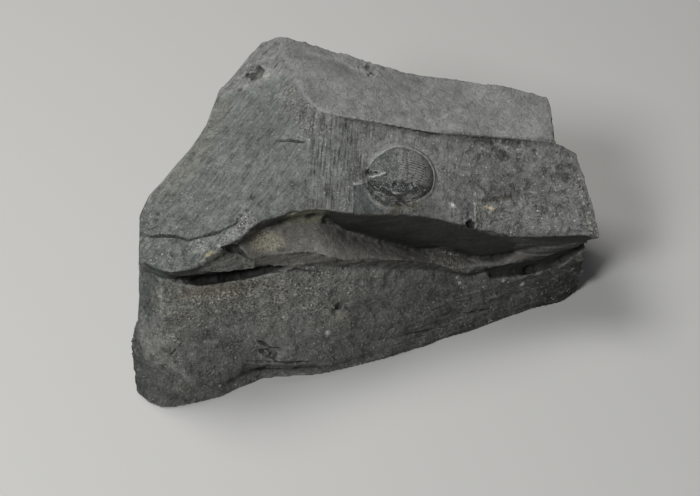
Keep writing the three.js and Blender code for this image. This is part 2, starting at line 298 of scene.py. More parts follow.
def setRoom():
    bpy.ops.object.select_all(action="DESELECT")
    spot = [c * mm for c in view["place"]]
    bpy.ops.object.camera_add(location=spot, rotation=(math.radians(view["tilt"]), 0, 0))
    camera = bpy.context.object
    camera.name = "photoCamera"
    camera.data.lens = view["lens"]
    camera.data.sensor_width = 36
    scene.camera = camera
    for name, lamp in lamps.items():
        spot = Vector([c * mm for c in lamp["place"]])
        turn = (Vector(room["aim"]) - spot).to_track_quat("-Z", "Y").to_euler()
        bpy.ops.object.light_add(type="AREA", location=spot, rotation=turn)
        light = bpy.context.object
        light.name = name
        light.data.size = lamp["size"] * mm
        light.data.energy = lamp["power"]
        light.data.color = lamp["tint"]
    world = bpy.data.worlds.new("softRoom")
    scene.world = world
    world.use_nodes = True
    sky = world.node_tree.nodes["Background"]
    sky.inputs["Color"].default_value = room["sky"]
    sky.inputs["Strength"].default_value = room["skyStrength"]
    scene.view_settings.view_transform = "Standard"
    bpy.ops.mesh.primitive_plane_add(size=room["floorSize"], location=(0, 0, -room["floorDrop"]))
    floor = bpy.context.object
    floor.name = "paleFloor"
    paper = Finish("paleFloor")
    paper.shader.inputs["Base Color"].default_value = room["floorColour"]
    paper.shader.inputs["Roughness"].default_value = room["floorRoughness"]
    floor.data.materials.append(paper.material)
    print("room: camera, two soft lamps and a pale floor")


# where the beds part, by the distance along the block: the lip of the upper bed, the crevice under it,
# and the crest between the front slope and the top strip
beds = {
    "lip": [(-71, 52.3), (-61, 52.6), (-52, 51), (-49, 53), (-46, 58), (-39, 60.7), (-34, 62), (-24, 62),
        (-14, 61.4), (-3.4, 58.5), (6, 56.5), (11, 55), (24, 50), (31, 47), (36, 44.5), (44, 41),
        (51, 38.7), (64, 38.4), (77, 38.2)],
    "crevice": [(-71, 50.8), (-62, 50), (-52, 46.5), (-40, 46.2), (-22, 46.2), (-11, 45.4), (0, 40.8),
        (11, 35.6), (21, 28.5), (31, 21), (46, 15.2), (60, 13), (67, 14.5), (77, 22)],
    "crest": [(-72, -16), (-68, -9), (-62, 0), (-54, 14), (-50, 29), (-42, 42), (-34, 50), (-29, 50),
        (-25, 33.5), (-19.5, 20.7), (-14.7, 16), (-10, 14.5), (5, 14.8), (11, 14.3), (21, 14.3), (31, 16),
        (44, 19), (54, 20.4), (64, 22.1), (77, 24)],
}

# weld and voxel are in metres, and the rest is in mm
stoneMake = {
    "weld": 0.00002,
    "voxel": 0.0006,
    "quickVoxel": 0.0009,
    "smoothRounds": 14,
    "faces": 196000,
    "fineReach": 1.6,
    "fineOval": (13.5, 11.5, 30),
    "plateDepth": 24,
    "chipScale": 0.86,
    "shadeReach": 12,
    "shadeRays": 8,
    "shadeStart": 0.8,
    "shadeLean": 1.1,
    "holes": [(-36.4, 36.6, 75.2), (1.3, 38.3, 75.2), (34.3, -5.1, 46), (-8.9, -23.7, 26.2),
              (-30.5, -32.6, 13.2)],
}

# cracks and grooves: the points that each runs through, its half width and its depth, in mm
cracks = {
    "slit": {"wide": 0.5, "deep": 1.8, "line": [
        (-27.9, 7.3, 71.4), (-23.6, 6.9, 71.9), (-19.2, 5.6, 72.1)]},
    "longArc": {"wide": 0.55, "deep": 1.5, "line": [
        (-70.7, -22.1, 58.7), (-67.6, -23.6, 58.8), (-62.9, -23.8, 59.4), (-58.9, -24.6, 59.8),
        (-55.5, -25.9, 59.7), (-51.6, -25.1, 60.2), (-45.7, -23.9, 61.4), (-41.2, -21.4, 62.1),
        (-38.6, -19.1, 62.9)]},
    "sideGroove": {"wide": 0.7, "deep": 0.7, "line": [
        (-70.1, -31.7, 55.6), (-67.3, -33.2, 54.4), (-63.5, -34.3, 53.3), (-60.5, -34.4, 51.6)]},
    "toeCrack": {"wide": 0.6, "deep": 1.7, "line": [
        (-35, -32, 19.5), (-32.4, -32, 17.2), (-29.5, -31.7, 15.4), (-27, -31.5, 14.3)]},
    "toeLine": {"wide": 0.4, "deep": 0.8, "line": [
        (-59.1, -38, 24.5), (-60.9, -39.1, 22.8), (-62.9, -40, 20.9)]},
    "undercut": {"wide": 0.55, "deep": 1.3, "line": [
        (-39, -34.2, 11.6), (-35.2, -33.5, 10.5), (-30.5, -33.2, 10.5), (-25.1, -32.6, 8.8),
        (-20.8, -31.2, 7.8), (-16.8, -30.1, 7.3)]},
    "seatCrack": {"wide": 0.35, "deep": 0.9, "line": [
        (10.3, -5.4, 55.5), (11, -7.5, 55.5), (12, -8.6, 54.2)]},
    "seatCrackRight": {"wide": 0.35, "deep": 0.7, "line": [
        (20.9, -0.7, 55.6), (19.2, -2.5, 54.8), (17.7, -5.3, 54.9), (16.1, -7.3, 53.7)]},
    "creviceTail": {"wide": 0.45, "deep": 0.9, "line": [
        (-26.7, -23.4, 44.4), (-22.2, -25.5, 45.8), (-18.1, -24.6, 44.1), (-14.6, -23.9, 42.7),
        (-11.4, -23.5, 41.3)]},
    "creviceRight": {"wide": 0.75, "deep": 1.4, "line": [
        (31.9, -4.5, 21), (36.1, -2, 19.1), (40.2, -0.7, 19), (47.8, 1.9, 18), (52.7, 3.6, 17.5),
        (59, 5.5, 17.1), (65, 6.2, 19.4), (71.2, 7.9, 21.1), (74.7, 7.1, 25.5)]},
    "ledgeEdge": {"wide": 0.35, "deep": 0.5, "line": [
        (-35, -26, 49.8), (-27.2, -23.4, 49.8), (-20.3, -21.7, 49.2), (-16.8, -21.2, 48.7),
        (-12, -21.6, 47.3), (-6, -20.3, 44.2), (0.2, -16.6, 42.2), (6.3, -15.1, 38.9), (15.2, -11.2, 35),
        (23, -7.4, 30.2), (29.5, -5.9, 25.1)]},
    # painted shadow: a thin dark groove under the crest step, darkened like the cracks
    "underCrest": {"wide": 0.35, "deep": 0.3, "line": [
        (-11.5, 14.5, 75.5), (-6.6, 13.5, 74.8), (1.4, 13.6, 72.9), (11.2, 13.7, 70.3), (20.9, 13.4, 68.4),
        (30.8, 14.7, 66.2), (44.2, 17.8, 62.2), (54.3, 19.1, 59.9), (63.5, 20.4, 57.6)]},
    "bedLineA": {"wide": 0.45, "deep": 0.7, "line": [
        (11.7, -19.4, 7.8), (20.2, -15.5, 6), (28.9, -11.7, 4.3)]},
    "bedLineB": {"wide": 0.4, "deep": 0.7, "line": [(30.6, -9, 6.9), (39.2, -6.3, 6), (46.2, -3.5, 5)]},
}

# pits: the middle of each, its half width and its depth, in mm
pits = [
    ((-41.2, 31.3, 72.6), 0.8, 0.7), ((-35.9, -12, 64.8), 0.8, 0.7), ((-37.4, -16.7, 63.5), 0.7, 0.6),
    ((-65.5, -16.1, 61.2), 0.8, 0.8), ((-66, -18, 60.8), 0.6, 0.6), ((-42.9, 5.2, 67.5), 0.6, 0.5),
    ((0, 39.3, 75), 1.0, 0.6), ((2.6, 37.1, 74.7), 0.9, 0.6), ((-10.5, -24.1, 33.6), 1.6, 0.4),
    ((-8.9, -23.5, 25.6), 1.6, 0.8), ((0.4, 0.9, 63.2), 0.9, 1.2), ((-33.4, -32.2, 14.2), 1.0, 0.7),
    ((-29.8, -32.2, 12.6), 1.1, 0.7), ((-39.2, -18.4, 62.8), 0.5, 0.5), ((-37, -16.5, 63.5), 0.5, 0.5),
]

# scars where a flake came off: each line is the edge of the higher side, which lies to its left as seen
# from outside, with the height of the edge and how far the flake reaches behind it, in mm
scars = {
    "crestRim": {"facing": (0.2, -0.2, 0.95), "high": -0.35, "reach": 1.6, "line": [
        (63.5, 21.2, 58.1), (54.3, 19.9, 60.4), (44.2, 18.6, 62.7), (30.8, 15.5, 66.7), (20.9, 14.2, 68.9),
        (11.2, 14.5, 70.8), (1.4, 14.4, 73.4), (-6.6, 14.3, 75.3), (-12.8, 15.5, 76.2),
        (-18.4, 20.4, 77.3)]},
    "cornerStep": {"facing": (0, -0.4, 0.9), "high": 0.35, "reach": 4, "line": [
        (-15.2, 6.6, 72.7), (-14.4, 9.4, 74), (-14.3, 13, 75.1), (-14.8, 17, 76.8)]},
    "lensFlake": {"facing": (0.2, 0, 0.97), "high": 0.35, "reach": 2.5, "line": [
        (27.8, 24.3, 68.1), (26.1, 22.1, 68.5), (23, 20.1, 69.1), (20.4, 20.1, 69.6)]},
    "patchTop": {"facing": (0.42, -0.6, 0.68), "high": 0.3, "reach": 2, "line": [
        (35.7, 0.6, 51.3), (40.7, 3, 50.8), (45.8, 4.1, 49.1), (48.1, 3.9, 47.9)]},
    "arcHigh": {"facing": (0.25, -0.58, 0.78), "high": 0.35, "reach": 2, "line": [
        (56.3, 17.3, 56.5), (58.3, 16.5, 55.5), (60.4, 17, 55.1), (62.5, 18.7, 55.3)]},
    "arcMiddle": {"facing": (0.25, -0.6, 0.75), "high": 0.35, "reach": 2, "line": [
        (54.3, 13.2, 54.1), (57.6, 13.8, 53.7), (61.7, 14.4, 52.8), (62.7, 13.6, 51.9)]},
    "arcLeft": {"facing": (0.25, -0.6, 0.75), "high": 0.35, "reach": 2, "line": [
        (45.5, 12.3, 56.2), (46.8, 10.8, 54.5), (48.9, 10.7, 53.6), (51.6, 12.1, 53.7)]},
    "toeFlake": {"facing": (0.25, -0.92, 0.3), "high": 0.8, "reach": 5, "line": [
        (-36, -33, 17), (-31.1, -31.8, 16.5), (-26.6, -31.3, 14.6), (-22, -30.6, 13.2)]},
    "faceTop": {"facing": (0.3, -0.9, 0.2), "high": 0.4, "reach": 5, "line": [
        (-4.3, -22.2, 21.5), (-6.6, -22.8, 26.1), (-11.5, -24.5, 30.7), (-14, -24.9, 34.9)]},
    "faceArc": {"facing": (0.4, -0.9, 0.1), "high": 0.45, "reach": 5, "line": [
        (2.3, -21.9, 13.4), (3.6, -20.1, 16.5), (1.6, -19.1, 21.1), (-3, -21.2, 27.2)]},
    "faceLow": {"facing": (0.3, -0.9, 0.2), "high": 0.35, "reach": 4, "line": [
        (-9.6, -25.6, 17.5), (-15.4, -26.1, 22.9), (-21.3, -26.9, 24.7)]},
    "faceRight": {"facing": (0.4, -0.85, 0.25), "high": 0.4, "reach": 4, "line": [
        (30.8, -5.4, 21), (34, -5, 16), (40, -3.4, 13.5), (47, -0.6, 12)]},
    "lowLeft": {"facing": (0.05, -0.97, 0.2), "high": 0.5, "reach": 5, "line": [
        (-66, -42.5, 15), (-60, -42, 10.5), (-54, -41, 8.5), (-49, -39.5, 8)]},
}

# plates with an edge of their own, raised, sunk or of another tint, some of them painted shade or light: the
# outline in mm, the rise, how soft the edge is, the tint and how strong it is, and what of the stone's marks
# the plate has more of
plates = {
    "apex": {"edge": 0.9, "tint": (0.168, 0.168, 0.160), "strength": 0.9, "outline": [
        (-30.4, 40.7, 89.8), (-37.6, 36.8, 85.5), (-43.5, 32, 80.2), (-50.1, 25.5, 72.8),
        (-48.3, 30.2, 70.2), (-42.6, 31.4, 72.2), (-38.3, 30.5, 73.4), (-34.6, 32.1, 74.8),
        (-30.6, 32.6, 75.9), (-26.1, 32.7, 78), (-22.2, 26.7, 78.2), (-18.4, 20.6, 77.4),
        (-15.3, 17.4, 76.9), (-11.5, 25.2, 77.4), (-10, 39.3, 77.5), (-14.8, 39.1, 87)]},
    "leftMargin": {"edge": 2.5, "tint": (0.150, 0.150, 0.132), "strength": 0.7, "outline": [
        (-49.4, 17.6, 77.9), (-43.8, 29.7, 71.5), (-45.5, 20.3, 68.7), (-49, 10.2, 66.9),
        (-54.2, -1.4, 64.4), (-65.1, -12.9, 62.1), (-68.4, -10.4, 62.8), (-56.6, 8.5, 66.3),
        (-51.7, 12.9, 73.1)]},
    "lensPit": {"rise": -1.0, "edge": 0.5, "tint": (0.095, 0.095, 0.085), "strength": 0.85, "outline": [
        (-39.4, 36.2, 74.1), (-39.1, 39.2, 74.6), (-37.5, 40, 75.3), (-34.4, 39, 76.1), (-33.4, 36.7, 75.9),
        (-34, 34.3, 75.3), (-36.6, 33.7, 74.5)]},
    "lensTail": {"rise": 0.2, "edge": 0.6, "tint": (0.25, 0.25, 0.23), "strength": 0.6, "outline": [
        (-34.1, 38.5, 76.1), (-31.4, 37.5, 76.5), (-26.6, 33.7, 77.7), (-30.3, 33.4, 76.1),
        (-33.9, 33.4, 75.2)]},
    "darkBand": {"edge": 0.9, "tint": (0.140, 0.140, 0.137), "strength": 0.7, "outline": [
        (-26.2, 44.9, 79.4), (-19.6, 42.2, 79), (-11.6, 39.9, 77.9), (-5, 37.6, 76.4), (0.3, 35.4, 75.2),
        (-4.3, 33.5, 76.4), (-11.6, 33.4, 78.1), (-19.8, 37.4, 79.1), (-26.1, 41.2, 79.4)]},
    "mottled": {"edge": 1.5, "tint": (0.122, 0.123, 0.115), "strength": 0.6, "crumbly": 0.55, "outline": [
        (-28.2, 28.9, 76), (-23.9, 27.8, 77.8), (-19.6, 21.6, 77.1), (-14, 15.9, 75.6), (-10, 12, 74),
        (-13, 6.9, 72.8), (-21, 9.2, 73.4), (-27, 18.4, 73.8), (-29.1, 24.5, 74.6)]},
    "arcPits": {"edge": 0.8, "tint": (0.20, 0.20, 0.185), "strength": 0.5, "crumbly": 0.9, "outline": [
        (-40.5, -20, 62.4), (-38.7, -17, 63.4), (-35.8, -15.8, 63.8), (-35.3, -19.1, 62.5),
        (-38.5, -22.9, 61.6)]},
    "triangle": {"rise": -1.2, "edge": 0.35, "tint": (0.060, 0.066, 0.054), "strength": 0.95, "outline": [
        (-46.2, -29.7, 59.7), (-44.2, -29, 60), (-41.2, -27.2, 58.6), (-39.9, -24.4, 55.2),
        (-38.7, -25, 53.7), (-37.5, -25.5, 51.9), (-40.2, -26.2, 53.5), (-43.2, -26.8, 55.3)]},
    "shelf": {"rise": 0.4, "edge": 0.5, "tint": (0.118, 0.120, 0.105), "strength": 0.9, "bedded": 1.2,
        "crumbly": 0.3,
        "outline": [(-51.5, -33.8, 57.6), (-49.1, -31.5, 58.9), (-46, -30.7, 58.9), (-42.6, -27.3, 54.6),
        (-37.5, -25.8, 51.3), (-34.7, -26, 49.7), (-35.1, -25.8, 46.4), (-39.9, -26.4, 46.1),
        (-45.4, -29.3, 48.2), (-50.1, -31.7, 51.9)]},
    "lipEdge": {"edge": 0.7, "tint": (0.185, 0.190, 0.182), "strength": 0.6, "crumbly": 0.3, "outline": [
        (-54.9, -27.5, 59.3), (-50.2, -26.5, 60), (-44.9, -24.6, 61.2), (-39.4, -20.8, 62.3),
        (-36.4, -18.8, 63), (-33.5, -20.6, 62.1), (-36.3, -23.4, 60.5), (-39.9, -26.7, 59.8),
        (-43.6, -28.1, 60.3), (-47.9, -29.6, 59.6), (-50, -31.4, 58.8), (-53.2, -30.7, 58.5),
        (-54.8, -29.6, 58.7)]},
    # painted shade under the left end of the lip
    "leftUnder": {"edge": 0.7, "tint": (0.045, 0.056, 0.048), "strength": 0.85, "bedded": 0.5, "outline": [
        (-67.9, -32.4, 55.8), (-64.7, -33.5, 56), (-62, -35.7, 55.6), (-60.5, -34.6, 52.1),
        (-61.1, -32.9, 48.8), (-64.6, -32.3, 49.4), (-68.1, -32.7, 52.9)]},
    "crumbs": {"edge": 1.2, "tint": (0.30, 0.28, 0.21), "strength": 0.85, "crumbly": 1.3, "outline": [
        (-36.6, -21.1, 55.6), (-34.7, -19, 55.7), (-31.6, -17.8, 55.5), (-27.8, -18, 54.3),
        (-25, -19.3, 52.4), (-26.2, -21.3, 51.3), (-29.7, -22.6, 51.3), (-34.1, -23.1, 52.2),
        (-36.2, -22.8, 54.1)]},
    "creviceShade": {"edge": 0.5, "tint": (0.016, 0.016, 0.014), "strength": 0.95, "outline": [
        (-62.6, -34.6, 53.6), (-59.5, -34.5, 52.5), (-52.7, -31.5, 49), (-47.7, -30.1, 48),
        (-42.7, -27.4, 46.2), (-37.5, -25.8, 45.9), (-31.3, -25.3, 46.6), (-26.9, -25.6, 47.3),
        (-27, -23.3, 44), (-31.2, -23.9, 43), (-35.4, -27.8, 44.8), (-40.7, -27.5, 43.4),
        (-46.2, -31.4, 45.4), (-51.3, -32.3, 45.7), (-55.6, -29.9, 44.9), (-59.1, -31.5, 47.3),
        (-61.4, -33, 49.2)]},
    # painted shade deep in the left crevice
    "crevice": {"rise": -0.8, "edge": 0.5, "tint": (0.013, 0.013, 0.012), "strength": 0.96, "outline": [
        (-61, -34.9, 53), (-56.6, -33.4, 51), (-52.6, -32.2, 50.2), (-48.9, -31.3, 50),
        (-44.3, -29.8, 49.2), (-39.8, -27.1, 47.3), (-35.1, -26.3, 47.4), (-30.4, -25.7, 47.3),
        (-26.6, -25.4, 46.7), (-26.7, -23.7, 44.3), (-31.2, -23.7, 43.5), (-36.9, -24.3, 42.6),
        (-43.3, -25.2, 41.2), (-47.8, -28.7, 43.4), (-53.3, -28.5, 43), (-57.1, -30.4, 45.7)]},
    # painted shadow in the right crevice and under its roof
    "hollowRight": {"rise": -1.0, "edge": 0.7, "tint": (0.018, 0.018, 0.016), "strength": 0.92, "outline": [
        (40.4, -1.1, 21.1), (45.6, 1.1, 20.1), (52.6, 3.3, 19), (59.5, 5.2, 18.6), (64.9, 6.1, 20.6),
        (70.7, 6.3, 23.7), (74.4, 6.4, 25.6), (76.2, 6, 26.4), (72.1, 9.2, 18.4), (67.7, 9.2, 14),
        (62.9, 7.8, 12.5), (56.5, 4.6, 13.1), (49.4, 2, 14.1), (42.4, -0.5, 16.2)]},
    "ledgeEnd": {"rise": 0.3, "edge": 0.5, "tint": (0.125, 0.120, 0.105), "strength": 0.8, "crumbly": 0.5,
        "outline": [(22.6, -1.1, 30.2), (24.9, -1.8, 32.5), (29, -0.7, 30.3), (33.9, -0.1, 24.9),
        (37.9, -2.1, 23.6), (34.6, -3.5, 21.6), (30, -5.8, 24.9), (24.8, -7.1, 28.7), (21.4, -7.7, 31.1)]},
    "ledgeBand": {"rise": -0.3, "edge": 0.4, "tint": (0.048, 0.047, 0.040), "strength": 0.8, "bedded": 1,
        "outline": [(-35, -25.3, 50.4), (-30.9, -24, 50.4), (-27.2, -23.1, 50), (-24, -22.5, 49.6),
        (-20.3, -21.5, 49.4), (-16.8, -21, 48.9), (-12, -21.4, 47.3), (-6, -20.1, 44.3), (0.2, -16.4, 42.2),
        (6.3, -15, 39.1), (15.2, -11, 34.9), (23, -7.2, 30.2), (29.5, -5.9, 25.1), (30.4, -4.9, 22.7),
        (24.9, -7, 25.5), (18.1, -9.8, 29.5), (9.7, -13.8, 33.9), (2.1, -17.2, 38.1), (-5, -20.3, 40.8),
        (-11.4, -23, 44.2), (-17.1, -23.9, 45.6), (-24, -25.4, 47.1), (-30.5, -24.6, 45.3),
        (-35.6, -25, 44.6)]},
    "deepShade": {"edge": 0.6, "tint": (0.020, 0.021, 0.018), "strength": 0.62, "bedded": 1, "outline": [
        (-13.3, -12.8, 59), (-8.2, -13.3, 59), (4.9, -10.6, 55.7), (14.9, -8, 52.5), (24.8, -6.8, 49.1),
        (34.1, -5.7, 44.5), (44.3, -3.7, 38.8), (49.8, -0.7, 33.1), (50.8, 5.1, 22.5), (44.5, 2.1, 22.2),
        (38.7, 0.1, 23.7), (32.6, 1.4, 24.8), (25.1, -1.1, 30.6), (21.9, -2, 29.8), (12.8, -5.5, 34.6),
        (2.8, -6.5, 40), (-4.7, -8.8, 47.5), (-14, -11.4, 53.1)]},
    # painted shade under the tip of the overhang
    "underTip": {"edge": 1.2, "tint": (0.016, 0.016, 0.014), "strength": 0.6, "outline": [
        (40.2, -1.2, 33), (50, 0, 33), (51, 5.5, 22), (44, 2, 21.5), (38.7, 0.1, 23.7)]},
    # painted light: the beds under the lip are paler and olive here, partly their own colour
    "litBeds": {"edge": 0.5, "tint": (0.150, 0.145, 0.105), "strength": 0.9, "bedded": 1, "outline": [
        (-24.5, -16.4, 61.5), (-20.8, -15.3, 61.8), (-17, -13.9, 61.5), (-13.2, -13.4, 60.2),
        (-13.7, -10.7, 52.9), (-17.8, -13.3, 54.6), (-24.1, -14.4, 55.4), (-25.9, -15.7, 58.7)]},
    "splinters": {"edge": 1.0, "tint": (0.07, 0.07, 0.062), "strength": 0.6, "bedded": 1.3, "outline": [
        (48, -3.4, 37.6), (55, -1, 34.2), (62, 2.7, 29.8), (73, 4, 29), (72, 4, 26), (66.7, 6, 22.6),
        (62, 5.5, 21), (56.6, 4.8, 21.8), (51, 5.5, 22.6), (50, 0, 31)]},
    # painted shade on the facet at the right end, which is turned from the lamps; its crumbs are its own
    "facetBand": {"rise": -0.25, "edge": 0.4, "tint": (0.105, 0.105, 0.098), "strength": 0.85, "crumbly": 0.5,
        "outline": [(68.1, 15.2, 52.2), (69.5, 16.6, 52.8), (71, 13.1, 50.5), (72.9, 9, 47.2),
        (74.8, 5.1, 44.1), (76.2, -1.2, 40.5), (76.2, -2.3, 36.5), (74.5, -2.5, 37.2), (72.3, 0.1, 41.9),
        (71.5, 4.9, 44.2), (70.3, 7.1, 45.4), (68.7, 9.5, 47.5)]},
    "patchLeft": {"edge": 0.35, "tint": (0.23, 0.22, 0.19), "strength": 0.8, "crumbly": 0.35, "outline": [
        (35.5, 0.2, 51), (38, 1, 50.2), (42, 1.2, 48.4), (41, -1, 46.4), (42, -4, 42.4), (39.4, -4.8, 43.3),
        (35.6, -5.7, 44.7)]},
    "patchDark": {"rise": -0.1, "edge": 0.35, "tint": (0.085, 0.078, 0.066), "strength": 0.75, "bedded": 0.8,
        "outline": [(35.7, 0.3, 51.1), (38.4, 1.6, 50.9), (42.4, 3.7, 50.4), (46.8, 5.1, 49.7),
        (48.1, 4.4, 48.3), (44.1, 2.9, 48.8), (39.7, 1.4, 49.9), (36, -0.1, 50.6)]},
    "crestBlotA": {"rise": -0.2, "edge": 0.5, "tint": (0.075, 0.078, 0.074), "strength": 0.75, "outline": [
        (36.8, 16.9, 63.9), (41.6, 19, 61.7), (42.6, 17.6, 60.7), (38.2, 15.6, 61.6)]},
    "crestBlotB": {"rise": -0.2, "edge": 0.4, "tint": (0.078, 0.08, 0.077), "strength": 0.8, "outline": [
        (42.9, 15.8, 59.7), (46.9, 16.2, 58.4), (48.2, 14.8, 57.1), (45.9, 13.2, 56.7),
        (43.2, 13.4, 57.9)]},
    "crestBlotC": {"rise": -0.2, "edge": 0.4, "tint": (0.08, 0.08, 0.072), "strength": 0.75, "outline": [
        (48.2, 19.2, 61.5), (51.1, 19.9, 59.1), (50.7, 17.9, 58.2), (48.3, 18.1, 58.9)]},
    "crestBlotD": {"rise": -0.2, "edge": 0.4, "tint": (0.075, 0.075, 0.062), "strength": 0.75, "outline": [
        (55.4, 18.4, 57.4), (58.1, 18.3, 56.5), (57.7, 16.4, 55.6), (55.7, 16.6, 56.3)]},
    "crestBlotE": {"edge": 0.9, "tint": (0.09, 0.092, 0.088), "strength": 0.6, "outline": [
        (63.1, 16.3, 53.8), (67.1, 15.7, 52.7), (68, 13, 50.7), (66.3, 11, 48.9), (63.7, 12.3, 50.4),
        (62, 14, 52.4)]},
    "slopeBlot": {"rise": -0.15, "edge": 0.4, "tint": (0.08, 0.082, 0.08), "strength": 0.7, "outline": [
        (50.2, 6.9, 50.1), (52.2, 7.1, 49.4), (51.5, 5.3, 48.4), (49.5, 5.5, 49.1)]},
    "palePatch": {"rise": 0.3, "edge": 0.3, "tint": (0.158, 0.158, 0.151), "strength": 0.7, "bedded": 0.35,
        "outline": [(35.5, 0.1, 51), (39.4, 0.9, 49.6), (44.1, 2.1, 48), (50.8, 2.9, 46.1),
        (59.1, 3.1, 44.6), (64.1, 2.5, 43.3), (65.1, -0.2, 41.3), (64.1, -2.3, 39.3), (57.5, -2.5, 39),
        (50.9, -3.1, 39.4), (44.1, -4.1, 41.5), (39.4, -4.8, 43.3), (35.6, -5.7, 44.7)]},
    "lipNotch": {"rise": -0.6, "edge": 0.35, "tint": (0.02, 0.02, 0.018), "strength": 0.9, "outline": [
        (32, -5.7, 47), (32.7, -5.1, 47.3), (34.4, -3.8, 46.1), (35.4, -4.3, 45.5), (35.3, -5.1, 44.3),
        (33.4, -6, 45.4), (32, -6.1, 46.2)]},
    "darkCorner": {"rise": -0.25, "edge": 0.3, "tint": (0.070, 0.080, 0.078), "strength": 0.85, "outline": [
        (-3.7, -5.6, 63.6), (-1.8, -4.7, 63.3), (0.1, -3.9, 62.8), (0.4, -5.6, 61.7), (1.7, -7.8, 59.5),
        (3.9, -8.9, 57.9), (5.9, -9.5, 56.7), (5.5, -10.5, 55.8), (0.7, -12, 57.3), (-3.9, -12.9, 58.6)]},
    # painted shade in the hole at the left of the shell
    "rockHole": {"rise": -0.5, "edge": 0.3, "tint": (0.018, 0.022, 0.019), "strength": 0.9, "outline": [
        (-0.4, -0.7, 63.4), (-0.2, 0.3, 63.9), (0.3, 1.8, 63.6), (1.1, 3.2, 62.7), (1.8, 3.5, 61.9),
        (1.4, 2.3, 61.4), (0.6, 0.6, 61.9)]},
    "broken": {"rise": -0.5, "edge": 0.3, "tint": (0.041, 0.050, 0.041), "strength": 0.92, "crumbly": 0.5,
        "outline": [(0.4, -3.8, 62.7), (2, -5.3, 61.1), (3.6, -6.2, 59.7), (5.9, -5.4, 57.2),
        (8.5, -5.6, 56), (11.1, -5.4, 55.2), (11.7, -6.7, 54.9), (10.4, -6.2, 55.3), (7.8, -7.8, 56.8),
        (5.9, -8.7, 57.2), (4.3, -8, 58.3), (2.8, -7.2, 59.4), (1.7, -6.2, 60.6), (0.7, -5.2, 61.8)]},
    "olive": {"edge": 0.4, "tint": (0.060, 0.056, 0.034), "strength": 0.8, "crumbly": 0.5, "outline": [
        (8.1, -8, 56.6), (9.5, -5.9, 55.6), (10.7, -6.3, 55.2), (11.4, -8.1, 54.9), (10.4, -8.8, 54.3),
        (8.4, -9.6, 55.5)]},
    "fragment": {"rise": 0.35, "edge": 0.3, "tint": (0.135, 0.128, 0.105), "strength": 0.9, "crumbly": 0.6,
        "outline": [(11.6, -5.2, 55.2), (12.4, -3.8, 54.6), (15, -4.4, 54.6), (17.6, -3.1, 54.8),
        (18.1, -3.9, 54.5), (16.6, -6.8, 53.9), (15.3, -7.6, 53.7), (13.3, -8, 54.2), (12, -7.4, 55.1)]},
    "toeScar": {"rise": 0.6, "edge": 0.35, "tint": (0.20, 0.20, 0.18), "strength": 0.7, "crumbly": 0.8,
        "outline": [(-65.4, -38, 28.9), (-61.3, -37.5, 28.2), (-58.6, -37.4, 25.5), (-60.2, -38.5, 24.1),
        (-62.7, -38.9, 24.9), (-65.2, -38.8, 25.6)]},
    "toeDark": {"edge": 2, "tint": (0.07, 0.074, 0.068), "strength": 0.6, "outline": [
        (-74.2, -37.1, 14.7), (-69.6, -39.8, 17.8), (-66.5, -41.3, 14.6), (-65.9, -42.9, 7.5),
        (-70.6, -42, 2.4), (-75, -38, 0.7)]},
    "toePits": {"rise": -0.7, "edge": 0.6, "tint": (0.065, 0.065, 0.058), "strength": 0.8, "crumbly": 1,
        "outline": [(-35.2, -32.7, 15.6), (-31.9, -31.5, 13.7), (-28.6, -31.7, 11.9), (-29.2, -32.6, 10.6),
        (-33.9, -33, 12)]},
    "underShade": {"rise": -0.6, "edge": 0.8, "tint": (0.045, 0.044, 0.038), "strength": 0.65, "bedded": 0.8,
        "outline": [(-39.7, -34.6, 10.9), (-34.6, -33.5, 8.9), (-29.6, -33.4, 9.3), (-24.8, -32.8, 7.6),
        (-16.3, -30.2, 5.7), (-14.3, -29, 1.5), (-21.6, -30.1, 1.8), (-29.9, -30.4, 2.6),
        (-36.5, -32.1, 3.1), (-41.3, -34.3, 3.6)]},
}

